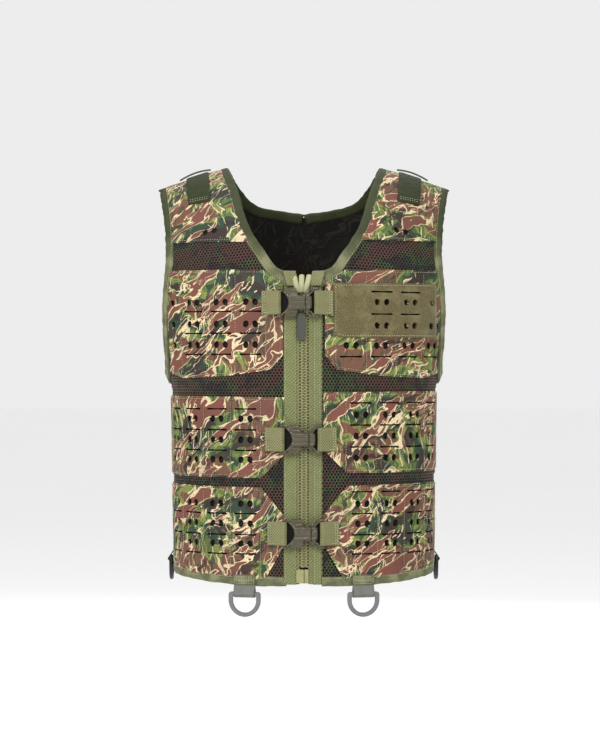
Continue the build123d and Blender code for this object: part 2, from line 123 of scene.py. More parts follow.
def section(v):
    """Level, half-width, reach and quarter length of the form's section at a height v up the cloth."""
    v = np.asarray(v, float)
    over = np.clip((v - CHEST_LEVEL) / TURN_LENGTH, 0, pi)
    level = np.where(v < CHEST_LEVEL, v, CHEST_LEVEL + (RIDGE_LEVEL - CHEST_LEVEL) * np.sin(over))
    wide = half_width(level)
    deep = HALF_DEPTH * np.cos(over)
    k = np.abs(deep) / wide
    quarter = wide * np.interp(k, np.linspace(0, 1, len(ARC_QUARTER)), ARC_QUARTER)
    return level, wide, deep, k, quarter


def lay(s, v, height=0.0):
    """Points of the form at arc length s, height v and a height above the lining."""
    s, v, height = (np.asarray(a, float) for a in np.broadcast_arrays(s, v, height))
    over = np.clip((v - CHEST_LEVEL) / TURN_LENGTH, 0, pi)
    level, wide, deep, k, quarter = section(v)
    share = np.abs(s) / quarter
    front = look_up(ARC_TURN, k, np.where(share > 1, 2 - share, share))
    turn = np.where(share > 1, pi - front, front)
    across = (wide + height) * np.abs(np.sin(turn)) ** (2 / ROUNDNESS)
    reach = (deep + height * np.cos(over)) * np.sign(np.cos(turn)) * np.abs(np.cos(turn)) ** (2 / ROUNDNESS)
    level = level + height * np.sin(over)
    fall = tilt(level)
    return np.stack([np.sign(s) * across, -reach, level - fall * across], axis=-1)


def flat(x, z):
    """Where a front-view place (x, z) lies on the cloth, as (s, v); a place past the side stays on the side."""
    side = -1 if x < 0 else 1
    x = abs(x)
    level = z
    for _ in range(12):
        level = min(z + float(tilt(level)) * x, RIDGE_LEVEL)
    if level <= CHEST_LEVEL:
        v = level
    else:
        v = CHEST_LEVEL + TURN_LENGTH * np.arcsin((level - CHEST_LEVEL) / (RIDGE_LEVEL - CHEST_LEVEL))
    _, wide, _, k, quarter = section(v)
    turn = np.arcsin(min(1.0, x / float(wide)) ** (ROUNDNESS / 2))
    share = look_up(ARC_SHARE, np.array([k]), np.array([turn / (pi / 2)]))[0]
    return side * share * float(quarter), float(v)


# ---- flat drawing -----------------------------------------------------------------------------------
def curve_through(points, step=4.0):
    """A smooth run through a few given points, in mm."""
    points = [np.array(p, float) for p in points]
    ends = [2 * points[0] - points[1], *points, 2 * points[-1] - points[-2]]
    run = []
    for a, b, c, d in zip(ends, ends[1:], ends[2:], ends[3:]):
        parts = max(2, ceil(np.linalg.norm(c - b) / step))
        for t in np.arange(parts) / parts:
            run.append(0.5 * (2 * b + (c - a) * t + (2 * a - 5 * b + 4 * c - d) * t * t
                              + (3 * b - a - 3 * c + d) * t**3))
    return [*run, points[-1]]


def straight_through(points, step=4.0):
    """The same for straight lines between corners."""
    run = []
    for a, b in zip(points, points[1:]):
        parts = max(1, ceil(hypot(b[0] - a[0], b[1] - a[1]) / step))
        run += [np.array([a[0] + (b[0] - a[0]) * t, a[1] + (b[1] - a[1]) * t]) for t in np.arange(parts) / parts]
    return [*run, np.array(points[-1], float)]


def on_cloth(run):
    """Cloth places of a run of front-view points in mm, with none twice."""
    places = []
    for x, z in run:
        place = np.array(flat(x * MM, z * MM))
        if not places or np.linalg.norm(place - places[-1]) > 0.4 * MM:
            places.append(place)
    return np.array(places)


def ring_of(run):
    """The same for a run that closes on itself."""
    ring = on_cloth(run)
    while np.linalg.norm(ring[0] - ring[-1]) < 0.4 * MM:
        ring = ring[:-1]
    return ring


def inside(ring, places):
    """Which places are inside a ring."""
    x, y = places[:, 0][:, None], places[:, 1][:, None]
    ax, ay = ring[:, 0], ring[:, 1]
    bx, by = np.roll(ax, -1), np.roll(ay, -1)
    with np.errstate(divide="ignore", invalid="ignore"):
        crossing = ((ay > y) != (by > y)) & (x < (bx - ax) * (y - ay) / (by - ay) + ax)
    return crossing.sum(1) % 2 == 1


def edge_distance(ring, places):
    """Distance of each place from a ring."""
    a, b = ring, np.roll(ring, -1, axis=0)
    ab = b - a
    best = np.full(len(places), 1e9)
    for start in range(0, len(places), 4000):
        p = places[start:start + 4000, None]
        t = np.clip(((p - a) * ab).sum(-1) / np.maximum((ab * ab).sum(-1), 1e-14), 0, 1)
        best[start:start + 4000] = np.linalg.norm(p - (a + t[..., None] * ab), axis=-1).min(1)
    return best


def ripple(places, scale, seed):
    """Smooth seeded noise over the cloth, from -1 to 1."""
    return np.array([noise.noise(Vector((s / scale, v / scale, seed))) for s, v in places])


# ---- meshes -----------------------------------------------------------------------------------------
def new_piece(name, verts, faces, material, uvs=None, smooth=True, sharp=None):
    """A mesh object with its material, and a UV map in metres where it is given one per corner."""
    mesh = bpy.data.meshes.new(name)
    mesh.from_pydata([tuple(v) for v in verts], [], [tuple(f) for f in faces])
    if uvs is not None:
        layer = mesh.uv_layers.new(name="cloth")
        corners = np.zeros(len(mesh.loops), int)
        mesh.loops.foreach_get("vertex_index", corners)
        layer.data.foreach_set("uv", np.asarray(uvs, float)[corners].ravel())
    if smooth:
        mesh.polygons.foreach_set("use_smooth", [True] * len(mesh.polygons))
    mesh.validate()
    mesh.update()
    if sharp is not None:
        mark = mesh.attributes.new("sharp_edge", "BOOLEAN", "EDGE")
        pairs = np.zeros(2 * len(mesh.edges), int)
        mesh.edges.foreach_get("vertices", pairs)
        mark.data.foreach_set("value", [tuple(sorted(p)) in sharp for p in pairs.reshape(-1, 2).tolist()])
    mesh.materials.append(material)
    piece = bpy.data.objects.new(name, mesh)
    bpy.context.scene.collection.objects.link(piece)
    return piece


def filled(ring, holes=(), clip=None, step=5 * MM):
    """Places and triangles that fill a ring with holes, within a second ring if one is given."""
    low, high = ring.min(0), ring.max(0)
    rows = np.arange(low[1] + step / 2, high[1], step * 0.87)
    grid = [(s + (step / 2 if i % 2 else 0), v) for i, v in enumerate(rows) for s in np.arange(low[0], high[0], step)]
    grid = np.array(grid) if grid else np.zeros((0, 2))
    for rim in (ring,) if clip is None else (ring, clip):
        grid = grid[inside(rim, grid) & (edge_distance(rim, grid) > step * 0.45)]
    if len(holes):
        cells = {}
        for place in np.concatenate([np.array(h) for h in holes]):
            cells.setdefault((int(place[0] // step), int(place[1] // step)), []).append(place)
        near = []
        for place in grid:
            i, j = int(place[0] // step), int(place[1] // step)
            close = [q for a in (-1, 0, 1) for b in (-1, 0, 1) for q in cells.get((i + a, j + b), ())]
            near.append(all(hypot(*(place - q)) > step * 0.35 for q in close))
        grid = grid[np.array(near, bool)]
    loops = [ring, *([] if clip is None else [clip]), *[np.array(h) for h in holes]]
    places, rims, start = [], [], 0
    for loop in loops:
        count = len(loop)
        places += list(loop)
        rims += [(start + i, start + (i + 1) % count) for i in range(count)]
        start += count
    found = delaunay_2d_cdt([Vector(p) for p in [*places, *grid]], rims, [], 0, 1e-7)
    places = np.array([tuple(p) for p in found[0]])
    triangles = np.array(found[2])
    centres = places[triangles].mean(1)
    keep = inside(ring, centres) & (True if clip is None else inside(clip, centres))
    for hole in holes:
        hole = np.array(hole)
        reach = (hole.max(0) - hole.min(0)).max()
        spots = np.nonzero(keep & (np.abs(centres - hole.mean(0)).max(1) < reach))[0]
        keep[spots] &= ~inside(hole, centres[spots])
    triangles = triangles[keep]
    used = np.unique(triangles)
    index = np.full(len(places), -1)
    index[used] = np.arange(len(used))
    places, triangles = places[used], index[triangles]
    a, b, c = (places[triangles[:, i]] for i in range(3))
    turn = (b[:, 0] - a[:, 0]) * (c[:, 1] - a[:, 1]) - (b[:, 1] - a[:, 1]) * (c[:, 0] - a[:, 0])
    triangles[turn < 0] = triangles[turn < 0][:, ::-1]
    return places, triangles.tolist()


def two_faced(name, upper, lower, triangles, material, uvs, turned=False, smooth=True):
    """A closed piece from an upper and a lower face with the same triangles, and walls between their rims."""
    count = len(upper)
    faces = [t[::-1] if turned else t for t in triangles]
    faces += [[i + count for i in (t if turned else t[::-1])] for t in triangles]
    edges = {(p, q) for t in triangles for p, q in zip(t, t[1:] + t[:1])}
    sharp = set()
    for p, q in edges:
        if (q, p) not in edges:
            wall = [q, p, p + count, q + count]
            faces.append(wall[::-1] if turned else wall)
            sharp |= {tuple(sorted((p, q))), tuple(sorted((p + count, q + count)))}
    return new_piece(name, np.concatenate([upper, lower]), faces, material, np.concatenate([uvs, uvs]), smooth, sharp)


def cloth(name, ring, material, top, under, holes=(), clip=None, step=5 * MM, print_shift=(0, 0), back=False):
    """A cut piece of cloth: a ring with holes, filled, laid on the form and given its two faces.

    top and under give the height of each face over the lining from the places' (s, v), and clip is a
    second ring that the piece stays within.
    """
    places, triangles = filled(ring, holes, clip, step)
    upper = lay(places[:, 0], places[:, 1], top(places))
    lower = lay(places[:, 0], places[:, 1], under(places))
    if back:
        upper[:, 1] *= -1
        lower[:, 1] *= -1
    return two_faced(name, upper, lower, triangles, material, places + np.array(print_shift), back)


def relief(name, ring, holes, material, front, rear, origin):
    """A moulding drawn from the front in mm, with a sculpted face; heights stand out of the chest."""
    places, triangles = filled(ring, holes, None, 1.0)
    rim = np.minimum.reduce([edge_distance(r, places) for r in (ring, *holes)])
    upper, lower = (np.stack([origin[0] + places[:, 0], origin[1] - height, origin[2] + places[:, 1]], axis=1) * MM
                    for height in (front(places, rim), rear(places, rim)))
    return two_faced(name, upper, lower, triangles, material, places * MM)


def level_face(height_mm):
    """A cloth piece's face that stays at one height in mm above the lining."""
    return lambda places: np.full(len(places), height_mm * MM)


def cornered(corners):
    """A ring on the cloth with straight sides between corners in mm."""
    return ring_of(straight_through([*corners, corners[0]]))


def net(name, ring, covers, material, sizes, print_shift=(0, 0), back=False):
    """Knitted mesh with its real holes, wherever no panel lies well over it."""
    pitch, row = sizes.mesh_pitch, sizes.mesh_pitch * sqrt(3) / 2
    low, high = ring.min(0), ring.max(0)
    centres = np.array([(low[0] + pitch * (i + (j % 2) / 2), low[1] + row * j)
                        for j in range(ceil((high[1] - low[1]) / row))
                        for i in range(ceil((high[0] - low[0]) / pitch))])
    centres = centres[inside(ring, centres) & (edge_distance(ring, centres) > 0.3 * pitch)]
    for cover in covers:
        centres = centres[~(inside(cover, centres) & (edge_distance(cover, centres) > 7 * MM))]
    corners = [radians(30 + 60 * k) for k in range(6)]
    rim = pitch / sqrt(3)
    bore = sizes.mesh_hole / 2 * 1.08
    keys, places, faces = {}, [], []
    for s, v in centres:
        outer, inner = [], []
        for a in corners:
            p = (s + rim * cos(a), v + rim * sin(a))
            key = (round(p[0] / (0.1 * MM)), round(p[1] / (0.1 * MM)))
            near = next(((key[0] + i, key[1] + j) for i in (0, -1, 1) for j in (0, -1, 1)
                         if (key[0] + i, key[1] + j) in keys), None)
            if near is None:
                keys[key] = len(places)
                places.append(p)
                near = key
            outer.append(keys[near])
        for a in corners:
            inner.append(len(places))
            places.append((s + bore * cos(a), v + bore * sin(a) * 1.12))
        faces.append((outer, inner))
    places = np.array(places)
    count = len(places)
    wave = 0.25 * MM * ripple(places, 45 * MM, 3.1)
    upper = lay(places[:, 0], places[:, 1], 1.75 * MM + wave)
    lower = lay(places[:, 0], places[:, 1], 0.95 * MM + wave)
    if back:
        upper[:, 1] *= -1
        lower[:, 1] *= -1
    quads = []
    for outer, inner in faces:
        for k in range(6):
            a, b, c, d = outer[k], outer[(k + 1) % 6], inner[(k + 1) % 6], inner[k]
            quads += [(a, b, c, d), (d + count, c + count, b + count, a + count), (c + count, d + count, d, c)]
    if back:
        quads = [q[::-1] for q in quads]
    uvs = np.concatenate([places, places]) + np.array(print_shift)
    return new_piece(name, np.concatenate([upper, lower]), quads, material, uvs)


def swept(name, rails, material, uvs, closed_ends=True, smooth=True):
    """A skin through a row of equal rings of points."""
    rows, count = len(rails), len(rails[0])
    verts = [p for rail in rails for p in rail]
    faces = [(i * count + k, i * count + (k + 1) % count, (i + 1) * count + (k + 1) % count, (i + 1) * count + k)
             for i in range(rows - 1) for k in range(count)]
    if closed_ends:
        faces += [tuple(range(count))[::-1], tuple((rows - 1) * count + k for k in range(count))]
    return new_piece(name, verts, faces, material, uvs, smooth)


def along(run):
    """Length so far at each point of a run."""
    run = np.asarray(run)
    return np.concatenate([[0], np.cumsum(np.linalg.norm(np.diff(run, axis=0), axis=1))])


def even(run, step):
    """The same run with evenly spaced points."""
    run = np.asarray(run, float)
    length = along(run)
    want = np.linspace(0, length[-1], max(3, ceil(length[-1] / step)))
    return np.stack([np.interp(want, length, run[:, i]) for i in range(run.shape[1])], axis=1)


def square_to(run):
    """Unit steps to the left of a flat run."""
    ahead = np.gradient(run, axis=0)
    ahead /= np.linalg.norm(ahead, axis=1)[:, None]
    return np.stack([-ahead[:, 1], ahead[:, 0]], axis=1)


# a folded tape's section: distance in from the cloth's edge, as a share of its width, and height in mm
TAPE_SECTION = [(1, 2.5), (0.97, 3.0), (0.75, 3.35), (0.35, 3.5), (0.08, 3.2), (-0.05, 2.0), (-0.06, 0.9),
                (-0.02, -0.4), (0.15, -1.0), (0.6, -1.05), (0.97, -0.9), (1, -0.3)]


def bound_edge(name, run, width, material, back=False, seed=0.0, flip=False):
    """A tape folded over a cloth edge; the cloth lies to the left of the run."""
    run = even(run, 3 * MM)
    inward = square_to(run) * (-1 if flip else 1)
    length = along(run)
    rails, uvs = [], []
    for (s, v), (ds, dv), u in zip(run, inward, length):
        pull = 0.9 * MM * noise.noise(Vector((u / (11 * MM), seed, 0.3)))
        swell = 0.75 * noise.noise(Vector((u / (6.5 * MM), seed, 7.7)))
        inset = np.array([a * width + pull for a, _ in TAPE_SECTION])
        height = np.array([(h + (swell if h > 0 else 0)) * MM for _, h in TAPE_SECTION])
        rail = lay(s + ds * inset, v + dv * inset, height)
        if back:
            rail[:, 1] *= -1
        rails.append(rail)
        uvs += [(u, a * width + (0 if h > 0 else 2 * width)) for a, h in TAPE_SECTION]
    if back != flip:
        rails = [rail[::-1] for rail in rails]
        uvs = [pair for i in range(len(rails)) for pair in uvs[i * len(TAPE_SECTION):(i + 1) * len(TAPE_SECTION)][::-1]]
    return swept(name, rails, material, uvs)


def strap(name, path, across, width, thick, material, section=None):
    """Flat webbing along a path in space; across is the direction of its width."""
    path = np.asarray(path, float)
    across = np.asarray(across, float)
    ahead = np.gradient(path, axis=0)
    ahead /= np.linalg.norm(ahead, axis=1)[:, None]
    out = np.cross(across, ahead)
    out /= np.linalg.norm(out, axis=1)[:, None]
    half, t = width / 2, thick / 2
    ring = section or [(-half, 0), (-half + 0.5 * t, t * 0.85), (-half + 2.4 * t, t), (-0.33 * half, t * 0.94),
                       (0.33 * half, t * 0.94), (half - 2.4 * t, t), (half - 0.5 * t, t * 0.85), (half, 0),
                       (half - 0.5 * t, -t * 0.85), (half - 2.4 * t, -t), (0, -t), (-half + 2.4 * t, -t),
                       (-half + 0.5 * t, -t * 0.85)]
    rails, uvs = [], []
    for point, n, u in zip(path, out, along(path)):
        rails.append([point + across * a + n * b for a, b in ring])
        uvs += [(a, u) for a, _ in ring]
    return swept(name, rails, material, uvs)


def sewn(context, name, seams, thick=0.6 * MM):
    """Lock stitches along seams, each a list of points in space with its outward directions.

    The thread is 0.4 mm thick and drawn at 0.6 mm, or 0.45 mm on the panels, so that it shows.
    """
    pitch = context.scene.vest_sizes.stitch_pitch
    verts, faces = [], []
    for points, outs in seams:
        both = even(np.hstack([points, outs]), 1 * MM)
        length = along(both[:, :3])
        for start in np.arange(0.4 * pitch, length[-1] - 0.7 * pitch, pitch):
            a, m, b = (np.array([np.interp(start + d, length, both[:, i]) for i in range(6)])
                       for d in (0, 0.36 * pitch, 0.72 * pitch))
            out = m[3:] / np.linalg.norm(m[3:])
            ahead = b[:3] - a[:3]
            side = np.cross(ahead, out)
            side *= thick / np.linalg.norm(side)
            base = len(verts)
            verts += [a[:3] - out * 0.2 * MM, m[:3] + side, m[:3] + out * thick, m[:3] - side,
                      m[:3] - out * thick, b[:3] - out * 0.2 * MM]
            for k in range(4):
                p, q = base + 1 + k, base + 1 + (k + 1) % 4
                faces += [(base, q, p), (base + 5, p, q)]
    return new_piece(name, verts, faces, finish_of(context, "spun_thread"))


def seam_on_form(run, height, back=False):
    """A seam's points and outward directions on the form."""
    run = even(run, 2 * MM)
    low, high = lay(run[:, 0], run[:, 1], height), lay(run[:, 0], run[:, 1], height + 1 * MM)
    if back:
        low[:, 1] *= -1
        high[:, 1] *= -1
    return low, (high - low) / MM


# ---- materials --------------------------------------------------------------------------------------
def linear(value):
    """An sRGB hex colour such as 0x87896a as linear red, green, blue."""
    parts = [(value >> shift & 255) / 255 for shift in (16, 8, 0)]
    return tuple(c / 12.92 if c <= 0.04045 else ((c + 0.055) / 1.055) ** 2.4 for c in parts)


def wire(tree, node, sockets):
    """Give a node's inputs what they take, each a value or another node's output."""
    for key, value in sockets.items():
        if isinstance(value, bpy.types.NodeSocket):
            tree.links.new(value, node.inputs[key])
        else:
            node.inputs[key].default_value = value


def add(tree, kind, sockets=None, out=0, stops=None, **settings):
    """Add a node with its settings, inputs and any hard colour stops, and return one of its outputs."""
    made = tree.nodes.new("ShaderNode" + kind)
    for field, value in settings.items():
        setattr(made, field, value)
    wire(tree, made, sockets or {})
    if stops:
        made.color_ramp.interpolation = "CONSTANT"
        while len(made.color_ramp.elements) < len(stops):
            made.color_ramp.elements.new(0.5)
        for element, (place, colour) in zip(made.color_ramp.elements, stops):
            element.position = place
            element.color = (*colour, 1)
    return made.outputs[out]


def per_metre(size_mm):
    """A texture scale that makes its features this many millimetres across."""
    return 1 / (size_mm * MM)


def blank(name):
    """A new material with its node tree and its shader."""
    material = bpy.data.materials.new(name)
    material.use_nodes = True
    return material, material.node_tree, material.node_tree.nodes["Principled BSDF"]


def layered(tree, ground, *layers):
    """A ground colour with others over it.

    Each layer is a pattern, the values from low to high over which its colour comes in, the share it comes in
    by, and the colour. From 0 to 1 it comes in evenly, and otherwise with a soft start and end.
    """
    colour = ground if isinstance(ground, bpy.types.NodeSocket) else (*ground, 1)
    for pattern, low, high, share, over in layers:
        ease = "LINEAR" if (low, high) == (0, 1) else "SMOOTHSTEP"
        mask = add(tree, "MapRange", {0: pattern, 1: low, 2: high, 4: share}, interpolation_type=ease)
        colour = add(tree, "Mix", {0: mask, 6: colour, 7: (*over, 1)}, 2, data_type="RGBA")
    return colour


def marks(tree, vector, size_mm, detail=2.0, rough=0.5, shift=(0, 0, 0), turn=0.0, stretch=(1, 1, 1), out=0):
    """Uneven marks of a size in mm, moved, turned and stretched over the cloth."""
    placed = add(tree, "Mapping", {0: vector, "Location": shift, "Rotation": (0, 0, radians(turn))})
    spread = add(tree, "VectorMath", {0: placed, 1: tuple(1 / k for k in stretch)}, operation="MULTIPLY")
    return add(tree, "TexNoise", {"Vector": spread, "Scale": per_metre(size_mm), "Detail": detail,
                                  "Roughness": rough}, out, noise_dimensions="2D")


def grain_through(tree, size_mm, detail=2.0):
    """Uneven marks of a size in mm through the solid of a piece."""
    return add(tree, "TexNoise", {"Vector": add(tree, "TexCoord", out="Object"), "Scale": per_metre(size_mm),
                                  "Detail": detail})


def camouflage(tree, vector, c):
    """The print: ground patches, brick flames edged in cream, and fine dark and pale streaks."""
    bent = vector
    # a small sway tears the flames' edges, and a slow one turns them from panel to panel
    for size, detail, shift, reach in ((40, 2, (0, 0, 0), 22), (120, 1, (0.6, 0.1, 0), 55)):
        sway = marks(tree, vector, size, detail, 0.5, shift, out="Color")
        sway = add(tree, "VectorMath", {0: sway, 1: (0.5, 0.5, 0.5)}, operation="SUBTRACT")
        sway = add(tree, "VectorMath", {0: sway, "Scale": reach * MM}, operation="SCALE")
        bent = add(tree, "VectorMath", {0: bent, 1: sway}, operation="ADD")
    # broad patches of the ground colours, longer than they are high
    patches = marks(tree, bent, 46, 3, 0.6, (0.3, 0.1, 0), 15, (1.8, 1, 1))
    ground = add(tree, "ValToRGB", {0: patches}, stops=[
        (0.0, c["dark_brown"]), (0.36, c["dark_green"]), (0.42, c["green"]), (0.48, c["olive"]),
        (0.53, c["brick"]), (0.58, c["tan"])])
    # flames that run up to one side, with an uneven border, and wisps of the border's colour on their own
    flames = marks(tree, bent, 20, 3, 0.5, (0.2, 0.4, 0), -38, (4.0, 1, 1))
    torn = marks(tree, bent, 6, 2, 0.6, (0.9, 0.7, 0), -38, (3, 1, 1))
    torn = add(tree, "Math", {0: torn, 1: 0.07, 2: -0.035}, operation="MULTIPLY_ADD")
    border = add(tree, "Math", {0: flames, 1: torn}, operation="ADD")
    wisps = marks(tree, bent, 27, 3, 0.6, (0.8, 0.3, 0), -50, (3.2, 1, 1))
    wisps = add(tree, "Math", {0: wisps, 1: 0.43}, operation="SUBTRACT")
    wisps = add(tree, "Math", {0: wisps}, operation="ABSOLUTE")
    return layered(
        tree, ground,
        (marks(tree, bent, 4.0, 2, 0.6, (0.7, 0.2, 0), 8, (1, 7, 1)), 0.55, 0.62, 0.8, c["dark_green"]),
        (marks(tree, bent, 4.6, 2, 0.6, (0.1, 0.9, 0), -6, (1, 8, 1)), 0.635, 0.665, 0.8, c["cream"]),
        (marks(tree, bent, 20, 3, 0.65, (0.5, 0.6, 0), -30, (3.0, 1, 1)), 0.575, 0.605, 0.9, c["dark_brown"]),
        (border, 0.556, 0.563, 1.0, c["cream"]),
        (flames, 0.59, 0.597, 1.0, c["brick"]),
        (wisps, 0.0095, 0.0065, 1.0, c["cream"]),
        # ink dots a little under 2 mm apart
        (marks(tree, vector, 1.5, 1), 0.52, 0.7, 0.38, c["dark_brown"]))


def weave_height(tree, vector, warp_mm, weft_mm):
    """A plain weave's ups and downs, from its thread spacings."""
    waves = []
    for part, spacing in zip(add(tree, "SeparateXYZ", {0: vector}).node.outputs, (warp_mm, weft_mm)):
        turned = add(tree, "Math", {0: part, 1: pi / (spacing * MM)}, operation="MULTIPLY")
        waves.append(add(tree, "Math", {0: turned}, operation="SINE"))
    both = add(tree, "Math", {0: waves[0], 1: waves[1]}, operation="MULTIPLY")
    return add(tree, "MapRange", {0: both, 1: -1.0, 2: 1.0})


def printed_laminate(c):
    """Nylon weave bonded to a backing and cut by laser: a tight dull face that catches light on its folds."""
    material, tree, shader = blank("laser_cut_laminate")
    vector = add(tree, "UVMap", uv_map="cloth")
    # the real threads are 0.5 mm apart: drawn at 1.3 mm, the finest that shows
    weave = weave_height(tree, vector, 1.3, 1.3)
    wear = marks(tree, vector, 60, 4, 0.6)
    height = add(tree, "Math", {0: weave, 1: marks(tree, vector, 7, 3, 0.6)}, operation="ADD")
    wire(tree, shader, {
        "Base Color": layered(tree, camouflage(tree, vector, c), (weave, 0, 1, 0.35, (0.02, 0.015, 0.012)),
                              (wear, 0.45, 0.75, 0.25, (0.03, 0.022, 0.016))),
        "Roughness": add(tree, "MapRange", {0: weave, 3: 0.74, 4: 0.58}), "IOR": 1.53,
        "Normal": add(tree, "Bump", {"Height": height, "Distance": 0.22 * MM})})
    return material


def printed_mesh(c):
    """Printed polyester mesh: the same print, darker because the eye takes the holes with it, softly glossy."""
    material, tree, shader = blank("printed_polyester_mesh")
    vector = add(tree, "UVMap", uv_map="cloth")
    print_colours = dict(c, cream=c["tan"], olive=c["green"])
    wire(tree, shader, {
        "Base Color": layered(tree, camouflage(tree, vector, print_colours), (0.66, 0, 1, 1.0, linear(0x0d0908))),
        "Roughness": 0.7, "IOR": 1.57, "Sheen Weight": 0.1,
        "Normal": add(tree, "Bump", {"Height": marks(tree, vector, 1.2, 2), "Distance": 0.15 * MM})})
    return material


def mesh_backing(c):
    """Black knitted backing behind the mesh: swallows the light, so the holes read dark. The same black, laid behind
    the zip teeth, is painted shadow.
    """
    material, tree, shader = blank("black_knit_backing")
    vector = add(tree, "UVMap", uv_map="cloth")
    knit = weave_height(tree, vector, 1.4, 1.0)
    wire(tree, shader, {
        "Base Color": layered(tree, camouflage(tree, vector, c), (0.96, 0, 1, 1.0, linear(0x0b0908)),
                              (knit, 0, 1, 0.5, linear(0x080706))),
        "Roughness": 0.9, "Normal": add(tree, "Bump", {"Height": knit, "Distance": 0.2 * MM})})
    return material


def grosgrain(c):
    """Ribbed nylon tape: fine ribs across its length, a faint silky gloss, darker over the shoulders."""
    material, tree, shader = blank("sage_grosgrain")
    vector = add(tree, "UVMap", uv_map="cloth")
    # ribs 0.6 mm apart in the tape, drawn at 1.2 mm so that they show
    ribs = weave_height(tree, vector, 0.6, 6.0)
    up = add(tree, "SeparateXYZ", {0: add(tree, "TexCoord", out="Object")}, 2)
    wire(tree, shader, {
        "Base Color": layered(tree, c["sage_dark"], (marks(tree, vector, 18, 3), 0.35, 0.7, 1.0, c["sage"]),
                              (up, -0.105, -0.065, 0.9, c["dark_olive"]), (ribs, 0, 1, 0.35, (0.05, 0.055, 0.03))),
        "Roughness": 0.68, "Specular IOR Level": 0.3,
        "Normal": add(tree, "Bump", {"Height": ribs, "Distance": 0.25 * MM})})
    return material


def webbing(name, light, dark, rib_mm, slant=0.0):
    """Webbing, woven tape, and the black ribbed sheet of painted shadow behind the buckles' strap bars: ribs across or
    slanting over its face, with a low nylon gloss.
    """
    material, tree, shader = blank(name)
    vector = add(tree, "UVMap", uv_map="cloth")
    turned = add(tree, "Mapping", {0: vector, "Rotation": (0, 0, radians(slant))})
    ribs = weave_height(tree, turned, rib_mm, rib_mm * (6 if slant else 1))
    wire(tree, shader, {
        "Base Color": layered(tree, dark, (ribs, 0, 1, 1.0, light), (marks(tree, turned, 12, 3), 0.4, 0.7, 0.22, dark)),
        "Roughness": 0.66, "Specular IOR Level": 0.3, "IOR": 1.53,
        "Normal": add(tree, "Bump", {"Height": ribs, "Distance": 0.4 * MM})})
    return material


def brushed_loop(c):
    """Brushed nylon loop: a short tangled pile, quite matt, with a pale bloom where it is rubbed."""
    material, tree, shader = blank("brushed_nylon_loop")
    vector = add(tree, "UVMap", uv_map="cloth")
    pile = marks(tree, vector, 1.6, 4, 0.7)
    wire(tree, shader, {
        "Base Color": layered(tree, linear(0x4f4930), (pile, 0.35, 0.68, 1.0, c["loop"]),
                              (marks(tree, vector, 22, 4, 0.6), 0.45, 0.7, 0.3, linear(0x8a8262))),
        "Roughness": 0.95, "Sheen Weight": 0.3, "Sheen Roughness": 0.4,
        "Normal": add(tree, "Bump", {"Height": pile, "Distance": 0.5 * MM})})
    return material


def moulded(name, colour, rough, grain_mm=0.9):
    """Moulded acetal and rubber, or a fine braid: fine grain and soft highlights."""
    material, tree, shader = blank(name)
    grain = grain_through(tree, grain_mm)
    wire(tree, shader, {
        "Base Color": layered(tree, colour, (grain_through(tree, 9, 3.0), 0.35, 0.75, 0.3, [k * 0.62 for k in colour])),
        "Roughness": add(tree, "MapRange", {0: grain, 3: rough - 0.08, 4: rough + 0.1}), "IOR": 1.48,
        "Normal": add(tree, "Bump", {"Height": grain, "Distance": 0.05 * MM})})
    return material


def painted_zinc():
    """Die-cast zinc under matt paint: rubbed a little bright in small chips."""
    material, tree, shader = blank("painted_zinc")
    chips = grain_through(tree, 2.2, 4.0)
    wire(tree, shader, {
        "Base Color": layered(tree, linear(0x45443a), (chips, 0.6, 0.7, 0.6, linear(0x8b897c))),
        "Roughness": 0.42, "Normal": add(tree, "Bump", {"Height": chips, "Distance": 0.04 * MM})})
    return material


def spun_thread():
    """Bonded nylon thread: a low gloss, paler where its lay turns to the light."""
    material, tree, shader = blank("spun_thread")
    twist = grain_through(tree, 1.1)
    wire(tree, shader, {
        "Base Color": layered(tree, linear(0x85866a), (twist, 0, 1, 1.0, linear(0xc3c2a4))),
        "Roughness": 0.6, "Normal": add(tree, "Bump", {"Height": twist, "Distance": 0.05 * MM})})
    return material


def make_finishes(c):
    """Every finish by name."""
    return {m.name: m for m in (
        printed_laminate(c), printed_mesh(c), mesh_backing(c), grosgrain(c), brushed_loop(c), painted_zinc(),
        spun_thread(),
        webbing("sage_nylon_webbing", c["webbing"], linear(0x5b5b3c), 1.9),
        # black sheet of painted shadow, laid behind the buckles' strap bars
        webbing("black_elastic", linear(0x17171a), linear(0x060606), 1.4),
        webbing("folded_tape_end", linear(0xb9b998), linear(0x8c8c6a), 1.5),
        webbing("woven_zip_tape", linear(0x7d8059), linear(0x585c3b), 1.6, 45),
        webbing("olive_twill_webbing", linear(0x3c4422), linear(0x14170b), 1.6, 38),
        webbing("grey_nylon_webbing", linear(0x86867f), linear(0x4a4a48), 1.1),
        moulded("moulded_acetal_buckle", c["buckle"], 0.2),
        moulded("moulded_acetal_tooth", linear(0x8a8862), 0.3),
        moulded("moulded_acetal_ring", c["ring"], 0.4),
        moulded("black_acetal_ring", linear(0x1d1d1d), 0.42),
        moulded("moulded_rubber", linear(0x3f403a), 0.55),
        moulded("braided_elastic", linear(0x4d5038), 0.7, 0.8),
    )}


def finish_of(context, name):
    """A finish, made with the others the first time one is asked for."""
    if name not in bpy.data.materials:
        make_finishes({key: tuple(getattr(context.scene.vest_colours, key)) for key in VestColours.__annotations__})
    return bpy.data.materials[name]


